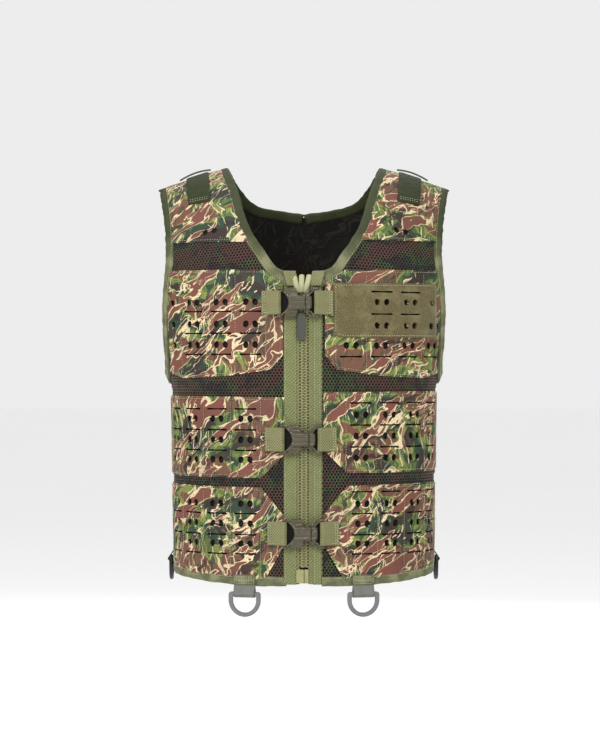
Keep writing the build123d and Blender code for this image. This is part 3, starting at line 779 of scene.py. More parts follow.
# ---- outlines in mm, for the wearer's left half, as in the frame ------------------------------------
ARMHOLE = [(187, 0), (180, -32), (175.5, -62), (174, -97), (177, -131), (179, -163), (178, -200), (176, -232)]
ARMHOLE_FOOT, OUTSIDE, ABOVE = -257, 260, 75
NECK_FRONT = [(22, -117), (36, -110), (46, -96), (61, -75), (73, -51), (83.5, -15), (98.5, 23)]
NECK_BACK = [(0, -32), (60, -22), (85, 0), (98.5, 23)]
HEM_FRONT, HEM_SIDE = -509.8, -497
BINDING_WIDTH = 11.5
TAPE_EDGE, TAPE_SEAM = 5.5, 22
PANELS = {
    "yoke": [(60, -79), (190, -79), (190, 90), (60, 90)],
    "upper": [(26, -221), (26, -128), (52, -114), (190, -114), (190, -236), (150, -250), (92, -247), (40, -239)],
    "middle": [(24, -346), (24, -274), (OUTSIDE, -271), (OUTSIDE, -374), (53, -375)],
    "lower": [(22.5, -425), (53, -387), (OUTSIDE, -383), (OUTSIDE, -520), (58, -520), (26, -463)],
}
BACK_PANELS = {
    "yoke": [(60, -48), (190, -48), (190, 90), (60, 90)],
    "upper": [(0, -60), (190, -60), (190, -236), (150, -250), (0, -250)],
    "middle": [(0, -272), (OUTSIDE, -272), (OUTSIDE, -374), (0, -374)],
    "lower": [(0, -386), (OUTSIDE, -386), (OUTSIDE, -520), (0, -520)],
}
LEFT_LIFT = {"upper": 0, "middle": 6, "lower": 2, "yoke": 2}
PATCH_OUTLINE = [(36, -196), (36, -131), (164, -131), (164, -199), (48, -199)]
WEBBING_OUTLINE = [(126, 60), (156, 60), (144, -31), (116, -27)]
# where the print starts on each piece, so that no two pieces match
PRINT_SHIFTS = {"yoke": (0.31, 0.77), "upper": (0.0, 0.0), "middle": (0.62, 0.13), "lower": (0.18, 0.52),
                "mesh": (0.44, 0.91)}
# hole rows in mm: first column from the centre line, levels of the hexagon pairs, levels of the slots
CUTS = {
    ("right", "upper"): (66, (-154, -182, -208), (-166, -193.5, -220)),
    ("left", "upper"): (58, (-154, -184, -209), (-142, -169.5, -223)),
    ("right", "middle"): (72.5, (-301, -327.4, -352.5), (-288.6, -314.9, -340.6)),
    ("left", "middle"): (70.5, (-296, -322.5, -350), (-281, -308.8, -336.3)),
    ("right", "lower"): (72.5, (-407.5, -432.6, -457.7), (-420, -446.4, -470.5)),
    ("left", "lower"): (72.5, (-407.5, -432.6, -457.7), (-392.5, -420, -446.4, -470.5)),
    ("right", "yoke"): (118, (-58,), ()),
    ("left", "yoke"): (122, (-56,), ()),
    ("back", "upper"): (0, (-84, -109.4, -134.8, -160.2, -185.6, -211), (-97, -122, -147.5, -173, -198, -223.5)),
    ("back", "middle"): (0, (-301, -327.4, -352.5), (-288.6, -314.9, -340.6)),
    ("back", "lower"): (0, (-407.5, -432.6, -457.7), (-420, -446.4, -470.5)),
}


def shifted(points, inset):
    """Move a run of points to its right by the inset, square to the run."""
    points = np.array(points, float)
    ahead = np.gradient(points, axis=0)
    ahead /= np.linalg.norm(ahead, axis=1)[:, None]
    return points + inset * np.stack([ahead[:, 1], -ahead[:, 0]], axis=1)


def neck_run(front, inset=0.0):
    run = shifted(NECK_FRONT if front else NECK_BACK, inset)
    run[0, 0] = TAPE_SEAM if front else 0
    return curve_through(run)


def arm_run(inset=0.0):
    """Down the armhole, round its foot and out to the side."""
    run = shifted(ARMHOLE, inset)
    foot = ARMHOLE_FOOT - inset
    return curve_through([*run, (run[-1][0] + 2.5, foot + 14), (run[-1][0] + 10, foot + 1.5), (OUTSIDE, foot)])


def hem_run(front, inset=0.0):
    inner = TAPE_SEAM if front else 0
    centre = HEM_FRONT if front else HEM_SIDE
    across = np.linspace(inner, 200, 45)
    share = np.clip((across - inner) / (190 - inner), 0, 1)
    return [(x, centre + inset + (HEM_SIDE - centre) * t**1.6 - 2 * sin(pi * t)) for x, t in zip(across, share)]


def half_run(front, inset=0.0):
    """Neck, shoulder, armhole, side and hem of one half, less the binding's width, as cloth places."""
    neck, arm = neck_run(front, inset), arm_run(inset)
    top = straight_through([neck[-1], (neck[-1][0] + 5, ABOVE), (190, ABOVE), arm[0]])
    side = straight_through([(OUTSIDE, ARMHOLE_FOOT - inset), (OUTSIDE, HEM_SIDE + inset)])
    return on_cloth([*neck, *top, *arm, *side, *hem_run(front, inset)[::-1]])


def mirrored(places):
    return places * np.array([-1, 1])


def half_ring(front, sign, inset=0.0):
    """The ring of one front half, or of the whole back."""
    run = half_run(front, inset)
    if front:
        run = np.concatenate([run, on_cloth(straight_through([(TAPE_SEAM, HEM_FRONT + inset), (TAPE_SEAM, -120)]))])
        return run if sign > 0 else mirrored(run)
    return np.concatenate([run, mirrored(run)[::-1][1:-1]])


def panel_ring(kind, side):
    """The ring of a panel before it is cut to the space inside the binding."""
    if side == "back":
        points = BACK_PANELS[kind]
        if kind != "yoke":
            half = on_cloth(straight_through(points))
            return np.concatenate([half, mirrored(half)[::-1][1:-1]])
        return ring_of(straight_through([*points, points[0]]))
    lift = LEFT_LIFT[kind] if side == "left" else 0
    ring = ring_of(straight_through([(x, z + lift) for x, z in [*PANELS[kind], PANELS[kind][0]]]))
    return ring if side == "left" else mirrored(ring)


def hexagon(s, v, width, height, lean):
    """A cut hexagon with soft corners, its outer side a little lower."""
    points = []
    for k in range(12):
        a = radians(15 + 30 * k)
        grow = 1.0 if k % 2 else 0.97
        points.append((s + grow * width / 2 * cos(a) * (1 + 0.08 * sin(a)) + lean * sin(a) * 0.35 * MM,
                       v + grow * height / 2 * sin(a)))
    return np.array(points)


def slot_cut(s, v, length, width, end):
    """A thin slot with a round relief cut at each end."""
    points = []
    for side in (1, -1):
        for k in range(-3, 4):
            a = radians(45 * k * 0.93)
            points.append((s + side * (length / 2 + end * cos(a)), v + side * end * sin(a)))
        points.append((s, v + side * width / 2))
    return np.array(points)


def cuts_of(side, kind, sizes, rings):
    """The hexagon pairs and slots of a panel that lie well inside every ring."""
    first, hex_rows, slot_rows = CUTS.get((side, kind), (0, (), ()))
    sign = SIDES.get(side, 1)
    count = 7 if kind != "yoke" else 1
    columns = [first * MM + k * sizes.column_pitch for k in range(-count if side == "back" else 0, count)]
    found = []
    for column in columns:
        for level in hex_rows:
            for k in (-1, 1):
                found.append(hexagon(sign * (column + k * sizes.pair_pitch / 2), level * MM, sizes.hexagon_width,
                                     sizes.hexagon_height, k))
        for level in slot_rows:
            found.append(slot_cut(sign * column, level * MM, sizes.slot_length, sizes.slot_width, 1.35 * MM))
    return [h for h in found if all(inside(r, h).all() and edge_distance(r, h).min() > 2.6 * MM for r in rings)]


def fasten(piece, side):
    """Back pieces move with the back; front ones stay where they lie, their placing baked into the mesh."""
    if side == "back":
        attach(piece, "back")
    else:
        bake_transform(piece)


# ---- sizes and colours ------------------------------------------------------------------------------
def length(name, text, mm):
    return bpy.props.FloatProperty(name=name, description=text, default=mm * MM, min=0, unit="LENGTH", precision=4)


def colour(name, text, value):
    return bpy.props.FloatVectorProperty(name=name, description=text, default=linear(value), subtype="COLOR", size=3,
                                         min=0, max=1)


class VestSizes(bpy.types.PropertyGroup):
    """Sizes of the cuts, mesh and seams."""
    column_pitch: length("Column pitch", "Spacing of the attachment columns round the body", 38.1)
    pair_pitch: length("Pair pitch", "Spacing of the two hexagons of a pair", 11.8)
    hexagon_width: length("Hexagon width", "Width of a cut hexagon", 7.4)
    hexagon_height: length("Hexagon height", "Height of a cut hexagon", 9.0)
    slot_length: length("Slot length", "Length of a slot between its relief cuts", 25.0)
    slot_width: length("Slot width", "Opening of a slot", 1.3)
    mesh_pitch: length("Mesh pitch", "Spacing of the mesh holes", 4.2)
    mesh_hole: length("Mesh hole", "Width of a mesh hole", 2.9)
    stitch_pitch: length("Stitch pitch", "Length of one stitch and its gap", 3.2)
    webbing_width: length("Webbing width", "Width of the buckle webbing", 30.0)


class VestColours(bpy.types.PropertyGroup):
    """Colours of the print, tapes and mouldings."""
    brick: colour("Brick", "The flames of the print", 0x774637)
    cream: colour("Cream", "The flames' borders", 0xdccaa4)
    green: colour("Green", "Mid green of the ground", 0x566d2f)
    dark_green: colour("Dark green", "Dark green of the ground", 0x1f3d29)
    olive: colour("Olive", "Yellow olive of the ground", 0x7f8940)
    dark_brown: colour("Dark brown", "Shadows of the print", 0x2c1915)
    tan: colour("Tan", "Tan brown of the ground", 0x6f4c34)
    sage: colour("Sage", "Binding tape", 0x7f8062)
    sage_dark: colour("Sage, worn in", "Binding tape where it is darker", 0x5d6045)
    dark_olive: colour("Dark olive", "Binding over the shoulders", 0x333a20)
    webbing: colour("Webbing", "Buckle webbing", 0x898865)
    loop: colour("Loop field", "Brushed loop of the patch", 0x6a6143)
    buckle: colour("Buckle", "Moulded buckles", 0x4b4636)
    ring: colour("Ring", "Moulded front rings", 0x6a6a6b)


# ---- pieces -----------------------------------------------------------------------------------------
class VEST_OT_mesh(bpy.types.Operator):
    """Mesh carrier of both fronts and the back, with its black backing"""
    bl_idname = "vest.mesh"
    bl_label = "Mesh carrier"

    def execute(self, context):
        sizes = context.scene.vest_sizes
        for side in (*SIDES, "back"):
            front = side != "back"
            sign = SIDES.get(side, 1)
            backing = cloth(f"backing_{side}", half_ring(front, sign, 3.0), finish_of(context, "black_knit_backing"),
                            level_face(0.7), level_face(0), step=9 * MM, back=not front)
            covers = [panel_ring(kind, side) for kind in PANELS]
            if not front:
                covers.append(mirrored(panel_ring("yoke", side)))
            carrier = net(f"mesh_{side}", half_ring(front, sign, 8.5), covers,
                          finish_of(context, "printed_polyester_mesh"), sizes, PRINT_SHIFTS["mesh"], not front)
            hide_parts("mesh_back" if side == "back" else f"mesh_front_{side}")
            fasten(backing, side)
            fasten(carrier, side)
        return {"FINISHED"}


class VEST_OT_panels(bpy.types.Operator):
    """Laser-cut laminate panels with their slots and hexagon pairs"""
    bl_idname = "vest.panels"
    bl_label = "Laser-cut panels"

    def execute(self, context):
        sizes = context.scene.vest_sizes
        for side in (*SIDES, "back"):
            front = side != "back"
            clip = half_ring(front, SIDES.get(side, 1), BINDING_WIDTH - 3.5)
            under = level_face(2.2)
            for order, kind in enumerate(PANELS):
                ring = panel_ring(kind, side)
                seed = order * 3.7 + len(side)

                def top(places, ring=ring, seed=seed):
                    rim = np.minimum(edge_distance(ring, places), edge_distance(clip, places))
                    lift = 4.15 + 0.55 * ripple(places, 42 * MM, seed) + 0.3 * ripple(places, 13 * MM, seed + 1)
                    return np.minimum(lift - 1.1 * np.exp(-rim / (3.5 * MM)), 5.05) * MM

                s, v = PRINT_SHIFTS[kind]
                place = {"left": (s, v), "right": (s + 0.37, v + 0.21), "back": (s + 0.83, v + 0.44)}[side]
                holes = cuts_of(side, kind, sizes, (ring, clip))
                name = f"back_panel_{kind}" if not front else f"{kind}_panel_{side}"
                panel = cloth(name + "_cloth", ring, finish_of(context, "laser_cut_laminate"), top, under, holes, clip,
                              4 * MM, place, not front)
                if kind == "yoke" and not front:
                    name = "yoke_back"
                    other = cloth(name + "_cloth_right", mirrored(ring), finish_of(context, "laser_cut_laminate"), top,
                                  under, (), clip, 4 * MM, (place[0] + 0.5, place[1]), True)
                    fasten(other, side)
                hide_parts(name)
                fasten(panel, side)
                seams = ring_inset(ring, clip, 3.2 * MM) + column_seams(side, kind, sizes, ring, clip)
                thread = sewn(context, name + "_stitches",
                              [seam_on_form(run, 4.65 * MM, not front) for run in seams], 0.45 * MM)
                fasten(thread, side)
        return {"FINISHED"}


def column_seams(side, kind, sizes, ring, clip):
    """Runs up the panel between its attachment columns."""
    first = CUTS.get((side, kind), (0,))[0] * MM
    if kind == "yoke":
        return []
    columns = [first + (k - 0.5) * sizes.column_pitch for k in range(-7 if side == "back" else 0, 8)]
    runs = []
    for column in columns:
        v = np.arange(ring[:, 1].min(), ring[:, 1].max(), 2 * MM)
        run = np.stack([np.full(len(v), SIDES.get(side, 1) * column), v], axis=1)
        good = inside(ring, run) & inside(clip, run)
        good &= (edge_distance(ring, run) > 4 * MM) & (edge_distance(clip, run) > 4 * MM)
        if good.sum() > 8:
            runs.append(run[good])
    return runs


def ring_inset(ring, clip, inset):
    """Runs parallel to a ring's edge, where they lie inside the clip."""
    closed_ring = even(np.vstack([ring, ring[:1]]), 3 * MM)
    inward = square_to(closed_ring)
    probe = closed_ring[len(closed_ring) // 3] + inward[len(closed_ring) // 3] * inset
    moved = closed_ring + inward * inset * (1 if inside(ring, probe[None])[0] else -1)
    good = inside(clip, moved) & (edge_distance(clip, moved) > inset) & (edge_distance(ring, moved) > 0.8 * inset)
    runs, run = [], []
    for place, ok in zip(moved, good):
        if ok:
            run.append(place)
        elif run:
            runs.append(run)
            run = []
    runs.append(run)
    return [np.array(r) for r in runs if len(r) > 4]


class VEST_OT_patch(bpy.types.Operator):
    """Brushed loop field on the wearer's left chest"""
    bl_idname = "vest.patch"
    bl_label = "Loop field"

    def execute(self, context):
        sizes = context.scene.vest_sizes
        ring = cornered(PATCH_OUTLINE)
        clip = half_ring(True, 1, BINDING_WIDTH - 1)
        rings = (ring, clip)
        holes = [h for h in cuts_of("left", "upper", sizes, rings) if h[:, 0].mean() > 80 * MM]
        patch = cloth("loop_field", ring, finish_of(context, "brushed_nylon_loop"),
                      lambda p: (6.5 + 0.25 * ripple(p, 20 * MM, 5)
                                 - 0.8 * np.exp(-edge_distance(ring, p) / (2.5 * MM))) * MM,
                      level_face(5.15), holes, clip, 4 * MM)
        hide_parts("hook_loop_patch")
        fasten(patch, "left")
        seams = [seam_on_form(run, 6.5 * MM) for run in ring_inset(ring, clip, 2.6 * MM)]
        thread = sewn(context, "loop_field_stitches", seams)
        fasten(thread, "left")
        return {"FINISHED"}


class VEST_OT_binding(bpy.types.Operator):
    """Folded tape round the neck, armholes and hem, with its stitches"""
    bl_idname = "vest.binding"
    bl_label = "Edge binding"

    def execute(self, context):
        tape = finish_of(context, "sage_grosgrain")
        width = BINDING_WIDTH * MM
        for side in (*SIDES, "back"):
            front = side != "back"
            runs = {"neck": on_cloth(neck_run(front)[::-1]), "armhole": on_cloth(arm_run()[::-1]),
                    "hem": on_cloth(hem_run(front))}
            pieces, seams = [], []
            for part, run in runs.items():
                for sign in (SIDES[side],) if front else (1, -1):
                    flip = sign < 0
                    way = mirrored(run) if flip else run
                    tag = "" if front else ("_left" if sign > 0 else "_right")
                    pieces.append(bound_edge(f"binding_{side}_{part}{tag}", way, width, tape, not front,
                                             len(part) + sign, flip))
                    smooth_run = even(way, 2 * MM)
                    inward = square_to(smooth_run) * (-1 if flip else 1)
                    seams.append(seam_on_form(smooth_run + inward * 0.82 * width, 3.35 * MM, not front))
            for piece in pieces:
                fasten(piece, side)
            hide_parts("binding_back" if not front else f"binding_front_{side}")
            thread = sewn(context, f"binding_{side}_stitches", seams)
            fasten(thread, side)
        return {"FINISHED"}


# the cord keepers' route over the shoulder in mm, as in the frame: across the body and up
KEEPER_ROUTE, KEEPER_DEPTH, KEEPER_WIDTH = [(121, 20.5), (141, 19.5), (161, 6.5)], -9.0, 2.2


class VEST_OT_shoulder_webbing(bpy.types.Operator):
    """Dark webbing over each shoulder, and the cord keepers on it"""
    bl_idname = "vest.shoulder_webbing"
    bl_label = "Shoulder webbing"

    def execute(self, context):
        ring = cornered(WEBBING_OUTLINE)
        for side, sign in SIDES.items():
            line = bpy.data.curves.new(f"cord_keeper_{side}_cord", "CURVE")
            line.dimensions, line.resolution_u, line.use_fill_caps = "3D", 16, True
            line.bevel_depth, line.bevel_resolution = KEEPER_WIDTH / 2 * MM, 4
            spline = line.splines.new("NURBS")
            spline.points.add(len(KEEPER_ROUTE) - 1)
            for point, (x, z) in zip(spline.points, KEEPER_ROUTE):
                point.co = (sign * x * MM, KEEPER_DEPTH * MM, z * MM, 1)
            spline.order_u, spline.use_endpoint_u = 3, True
            line.materials.append(finish_of(context, "braided_elastic"))
            keeper = bpy.data.objects.new(line.name, line)
            context.scene.collection.objects.link(keeper)
            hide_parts(f"cord_keeper_{side}")
            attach(keeper, "back")
            tuple(spline.points[0].co[:3])
        for side in (*SIDES, "back"):
            front = side != "back"
            for sign in (SIDES[side],) if front else (1, -1):
                way = ring if sign > 0 else mirrored(ring)
                tag = "" if front else ("_left" if sign > 0 else "_right")
                band_piece = cloth(f"shoulder_webbing_{side}{tag}_cloth", way,
                                   finish_of(context, "olive_twill_webbing"),
                                   lambda p, w=way: (6.6 - 0.7 * np.exp(-edge_distance(w, p) / (1.2 * MM))) * MM,
                                   level_face(5.2), step=4 * MM, back=not front)
                if sign > 0 or front:
                    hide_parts("shoulder_webbing_back" if not front else f"shoulder_webbing_front_{side}")
                fasten(band_piece, side)
                low = even(on_cloth([(118, -24), (143, -28)]) * (sign, 1), 2 * MM)
                seams = [seam_on_form(low, 6.6 * MM, not front), seam_on_form(low + (0, 4 * MM), 6.6 * MM, not front)]
                thread = sewn(context, f"shoulder_webbing_{side}{tag}_stitches", seams)
                fasten(thread, side)
        return {"FINISHED"}


# a moulded tooth seen from the front: distance from its tape along its length, half height, in mm
TOOTH_SHAPE = [(0, 0.85), (2.4, 0.85), (3.4, 0.5), (5.8, 0.5), (6.4, 0.95), (8.8, 1.0), (9.7, 0.6), (10, 0)]
TOOTH_PITCH, TEETH_TOP, BOX_TOP, ZIP_PLANE = 4.0, -142, -489, -123


def tooth_rows(name, sign, first, count, material):
    """One side's row of teeth."""
    half = [(TAPE_EDGE - a, b) for a, b in TOOTH_SHAPE]
    outline = [*half, *[(a, -b) for a, b in half[-2::-1]]]
    verts, faces = [], []
    for row in range(count):
        level = first - row * TOOTH_PITCH
        base, n = len(verts), len(outline)
        for depth, tight in ((2.1, 1.0), (-1.4, 1.0), (-2.1, 0.72)):
            for a, b in outline:
                centre = TAPE_EDGE - 5
                verts.append((sign * (centre + (a - centre) * (1 - 0.1 * (tight < 1))) * MM, (ZIP_PLANE + depth) * MM,
                              (level + b * tight) * MM))
        for ring in (0, 1):
            for k in range(n):
                a, b = base + ring * n + k, base + ring * n + (k + 1) % n
                faces.append((a, b, b + n, a + n) if sign > 0 else (a + n, b + n, b, a))
        cap = tuple(base + 2 * n + k for k in range(n))
        floor = tuple(base + k for k in range(n))
        faces += [cap, floor[::-1]] if sign > 0 else [cap[::-1], floor]
    return new_piece(name, verts, faces, material, smooth=False)


# where the folded tape ends lie across the chest in mm, and how far they lean
PLEATS = {"left": [(4.6, 0.22)], "right": [(-3.0, 0.02), (-10.4, -0.22)]}
# level and height out of the chest along a pleat, and along the fold over it, in mm
PLEAT_PROFILE = [(-122, -2.2), (-124.5, 0.4), (-130, 1.4), (-136, 0.8), (-143, -1.6)]
FOLD_PROFILE = [(-116.8, 2.6), (-119, 5.4), (-127, 5.9), (-135, 4.6)]
# inner and outer edge of the sewn strips, in mm
STRIP_EDGES = {"left": (11.2, 21.5), "right": (9.2, 25.0)}


class VEST_OT_zip(bpy.types.Operator):
    """Zip tapes, moulded teeth, sewn strips and the folded tape ends"""
    bl_idname = "vest.zip"
    bl_label = "Zip"

    def execute(self, context):
        # a black sheet laid behind the teeth is painted shadow, so that the gaps between the teeth read dark
        teeth_shadow = cloth("zip_guard", cornered([(-7, -507), (10, -507), (10, -131), (-7, -136)]),
                      finish_of(context, "black_knit_backing"), level_face(-0.1), level_face(-0.9), step=5 * MM)
        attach(teeth_shadow, "front_left")
        for side, sign in SIDES.items():
            tape_ring = cornered([(TAPE_EDGE, -508), (TAPE_EDGE, -134), (TAPE_SEAM + 1, -116), (TAPE_SEAM + 1, -508)])
            inner, outer = STRIP_EDGES[side]
            strip_ring = cornered([(inner, -508.5), (inner, -128), (outer, -117), (outer, -508.5)])
            tape_ring, strip_ring = (r if sign > 0 else mirrored(r) for r in (tape_ring, strip_ring))
            tape = cloth(f"zip_tape_{side}_cloth", tape_ring, finish_of(context, "woven_zip_tape"),
                         lambda p: (1.7 + 0.25 * ripple(p, 14 * MM, 2)) * MM, level_face(0.3), step=4 * MM)
            strip = cloth(f"zip_strip_{side}", strip_ring, finish_of(context, "woven_zip_tape"),
                          lambda p, r=strip_ring: (3.3 + 0.35 * ripple(p, 16 * MM, 4)
                                                   - 0.8 * np.exp(-edge_distance(r, p) / (1.5 * MM))) * MM,
                          level_face(1.9), step=3.5 * MM, print_shift=(0.2, 0.1))
            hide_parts(f"zip_tape_{side}")
            seams = [np.array([(sign * a * MM, -507 * MM), (sign * a * MM, -128 * MM)])
                     for a in (inner + 1.6, outer - 1.8)]
            thread = sewn(context, f"zip_strip_{side}_stitches", [seam_on_form(run, 3.35 * MM) for run in seams])
            first = TEETH_TOP - (0 if sign > 0 else TOOTH_PITCH / 2)
            teeth = tooth_rows(f"zip_teeth_{side}_row", sign, first, int((first - BOX_TOP - 2) // TOOTH_PITCH) + 1,
                               finish_of(context, "moulded_acetal_tooth"))
            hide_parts(f"zip_teeth_{side}")
            # the neck tape runs on down to the teeth, and the zip's own end is folded over it in pleats
            over = bound_edge(f"zip_end_{side}", on_cloth(curve_through([(24, -117), (16, -123), (9, -129), (4, -136)]))
                              * (sign, 1), 13 * MM, finish_of(context, "sage_grosgrain"), seed=5.0 + sign,
                              flip=sign < 0)
            pleats = []
            for k, (x, lean) in enumerate(PLEATS[side]):
                path = np.array([lay(*flat((x + lean * (z + 130)) * MM, z * MM), (3.6 + h) * MM)
                                 for z, h in curve_through(PLEAT_PROFILE, 2.0)])
                pleats.append(strap(f"zip_pleat_{side}_{k}", path, (1, 0, 0), 7.2 * MM, 4 * MM,
                                    finish_of(context, "folded_tape_end"),
                                    [(3.5 * MM * cos(t), -2.3 * MM * sin(t)) for t in np.linspace(0, 2 * pi, 15)[:-1]]))
            fold = [lay(*flat(sign * (15 + 0.25 * (z + 128)) * MM, z * MM), h * MM)
                    for z, h in curve_through(FOLD_PROFILE, 2.0)]
            pleats.append(strap(f"zip_fold_{side}", fold, (0.96, -0.28 * sign, 0), 16.5 * MM, 2.2 * MM,
                                finish_of(context, "sage_nylon_webbing")))
            for piece in (tape, strip, thread, teeth, over, *pleats):
                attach(piece, f"front_{side}")
        return {"FINISHED"}


BUCKLE_BACK, BUCKLE_DEPTH = -129.7, 9.0
BUCKLES = {"top": (-8.3, -155.5), "middle": (-4.0, -326.5), "bottom": (-1.0, -444.0)}
BUCKLE_BARS = {"left": 25.0, "right": -24.5}
STRAP_END = 45
# a box of stitches, each row from (in from the strap's end in mm, up in half widths) to the same
STRAP_SEWING = [((2, 1), (2, -1)), ((10, 1), (10, -1)), ((2, 1), (10, 1)), ((2, -1), (10, -1)), ((4.5, 1), (4.5, -1))]

# upper halves of the mouldings' outlines in mm, along the strap and up, from the middle line round to it again
FEMALE_EDGE = [(-26.1, 0), (-26.1, 18.2), (-25.5, 18.8), (-21.3, 18.8), (-18.6, 16.0), (-16.0, 13.5), (-15.6, 14.6),
               (-15.4, 17.2), (-14.4, 17.9), (-8, 17.8), (-2.6, 17.6), (-1.4, 16.0), (-0.6, 13.4), (0.6, 10.4),
               (1.8, 8.2), (2.8, 7.7), (6.2, 7.7), (7.4, 8.6), (8.4, 10.8), (9.2, 12.2), (10.0, 12.3), (10.0, 0)]
FEMALE_GAP = [(-22.9, 0), (-22.9, 15.2), (-21.4, 15.6), (-18.2, 12.9), (-15.0, 9.6), (-12.9, 6.0), (-11.8, 2.6),
              (-11.6, 0)]
MALE_EDGE = [(10.4, 0), (10.4, 12.4), (11.2, 13.6), (12.4, 14.4), (14.6, 16.4), (17.6, 18.2), (21.5, 18.8),
             (26.0, 18.8), (26.6, 18.2), (26.6, 0)]
MALE_GAP = [(18.6, 0), (18.3, 3.4), (17.2, 6.6), (15.7, 9.0), (17.0, 10.6), (19.2, 12.7), (21.4, 14.4), (23.4, 15.2),
            (23.4, 0)]
MALE_WEDGE = [(13.6, 11.9), (15.2, 12.2), (18.6, 15.5), (17.4, 16.3), (15.4, 15.0)]
# height of the barrel's ribbed face out of the chest, from its middle line up, in mm
BARREL = [(0, 9.1), (1.5, 8.9), (3.0, 7.6), (4.2, 7.2), (5.4, 8.3), (6.6, 8.6), (8.0, 7.7), (9.4, 6.1), (10.6, 4.9),
          (12, 4.6), (19, 4.4)]
CAVITY = (-10.0, 10.5, 8.4)


def both_halves(edge):
    """A closed ring from its upper half, which starts and ends on the middle line."""
    edge = np.array(straight_through(edge, 1.2))
    return np.concatenate([edge, mirrored(edge[::-1])[1:-1] * -1])


def oblong(start, end, half, step):
    """A plate's ring in mm, from start to end along the strap and half its width up and down."""
    corners = [(start, -half), (end, -half), (end, half), (start, half), (start, -half)]
    return np.array(straight_through(corners, step))[:-1]


class VEST_OT_buckles(bpy.types.Operator):
    """Side-release buckles with their ribbed barrels, splayed ribs and strap bars"""
    bl_idname = "vest.buckles"
    bl_label = "Buckles"

    def execute(self, context):
        acetal = finish_of(context, "moulded_acetal_buckle")
        slopes, heights = np.array(BARREL).T

        def face(places, rim):
            a, b = places[:, 0], np.abs(places[:, 1])
            height = np.interp(b, slopes, heights)
            out = np.clip(np.maximum(-9 - a, a - 15.5) / 5, 0, 1)
            height -= out * (height - 6.4)
            height += 0.5 * np.exp(-((a - 17.6) / 1.1) ** 2) * (b < 8)
            return height - 1.3 * np.exp(-rim / 0.7)

        def rear(places, rim):
            a, b = places[:, 0], np.abs(places[:, 1])
            height = np.where((a < -12) | (a > 18.2) | (b > 10.6), 2.4, 0.9)
            return np.where((a > CAVITY[0]) & (a < CAVITY[1]) & (b < CAVITY[2]), 7.2, height)

        def solid(places, rim):
            a, b = places[:, 0], np.abs(places[:, 1])
            return np.where((a > 18.2) | (b > 12), 2.4, 0.9)

        for name, (x, z) in BUCKLES.items():
            origin = (x, BUCKLE_BACK, z)
            female = relief(f"buckle_{name}_socket", both_halves(FEMALE_EDGE), [both_halves(FEMALE_GAP)], acetal, face,
                            rear, origin)
            plate = relief(f"buckle_{name}_socket_back", oblong(-10.5, 10, 8.8, 3), [], acetal,
                           lambda p, rim: np.full(len(p), 1.8), lambda p, rim: np.full(len(p), 0.9), origin)
            wedge = np.array(MALE_WEDGE)
            male = relief(f"buckle_{name}_plug", both_halves(MALE_EDGE),
                          [both_halves(MALE_GAP), wedge, wedge * (1, -1)], acetal, face, solid, origin)
            spine = relief(f"buckle_{name}_tongue", oblong(-8, 11, 1.8, 2), [], acetal,
                           lambda p, rim: 6.6 - 0.5 * np.exp(-rim / 0.6), lambda p, rim: np.full(len(p), 2.4), origin)
            # a near-black ribbed sheet behind each strap bar is painted shadow: it stands in for the deep shade in the
            # gap between webbing and barrel
            for side, reach in (("right", (-27, -12)), ("left", (16, 28))):
                shadow_pad = relief(f"buckle_{name}_elastic_{side}", oblong(*reach, 14, 3), [],
                             finish_of(context, "black_elastic"), lambda p, rim: 0.5 - 0.4 * np.exp(-rim / 0.8),
                             lambda p, rim: np.full(len(p), -0.9), origin)
                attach(shadow_pad, f"front_{side}")
            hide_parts(f"buckle_female_{name}")
            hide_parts(f"buckle_male_{name}")
            for piece, body in ((female, "front_right"), (plate, "front_right"), (male, "front_left"),
                                (spine, "front_left")):
                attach(piece, body)
        return {"FINISHED"}


class VEST_OT_buckle_webbing(bpy.types.Operator):
    """Webbing loops that hold the buckles, sewn down with a box of stitches"""
    bl_idname = "vest.buckle_webbing"
    bl_label = "Buckle webbing"

    def execute(self, context):
        sizes = context.scene.vest_sizes
        for name, (x, z) in BUCKLES.items():
            for side, bar in BUCKLE_BARS.items():
                sign = SIDES[side]
                bar_x, bar_y = x + bar, BUCKLE_BACK - BUCKLE_DEPTH / 2
                seat = -128.6 if (side, name) == ("left", "top") else -126.6
                end_x = x + sign * STRAP_END
                turn = [(bar_x - sign * 3.5 * sin(radians(a)), bar_y - 3.5 * cos(radians(a)))
                        for a in range(0, 181, 15)]
                path = [(end_x, seat - 0.9), (end_x - sign * 7, seat - 1.2), *turn, (end_x - sign * 7, seat + 0.6),
                        (end_x - sign * 1, seat + 0.7)]
                path = np.array([(a * MM, b * MM, z * MM) for a, b in curve_through(path, 2.0)])
                loop = strap(f"buckle_webbing_{name}_{side}_loop", path, (0, 0, 1), sizes.webbing_width, 1.35 * MM,
                             finish_of(context, "sage_nylon_webbing"))
                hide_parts(f"buckle_webbing_{name}_{side}")
                half = sizes.webbing_width / 2 - 2.5 * MM
                seams = []
                for row in STRAP_SEWING:
                    points = []
                    for a, b in row:
                        depth = seat - 1.6 - (0.3 if a < 7 else 1.3)
                        points.append(((end_x - sign * a) * MM, depth * MM, z * MM + b * half))
                    seams.append((np.array(points), np.array([(0, -1.0, 0)] * 2)))
                thread = sewn(context, f"buckle_webbing_{name}_{side}_stitches", seams)
                for piece in (loop, thread):
                    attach(piece, f"front_{side}")
        return {"FINISHED"}


HARDWARE_FINISHES = {
    "buckle": "moulded_acetal_buckle", "d_ring_front": "moulded_acetal_ring", "d_ring_side": "black_acetal_ring",
    "zip_slider": "painted_zinc", "zip_retainer_box": "moulded_acetal_tooth",
    "zip_insertion_pin": "moulded_acetal_tooth", "zip_pull": "moulded_rubber"}


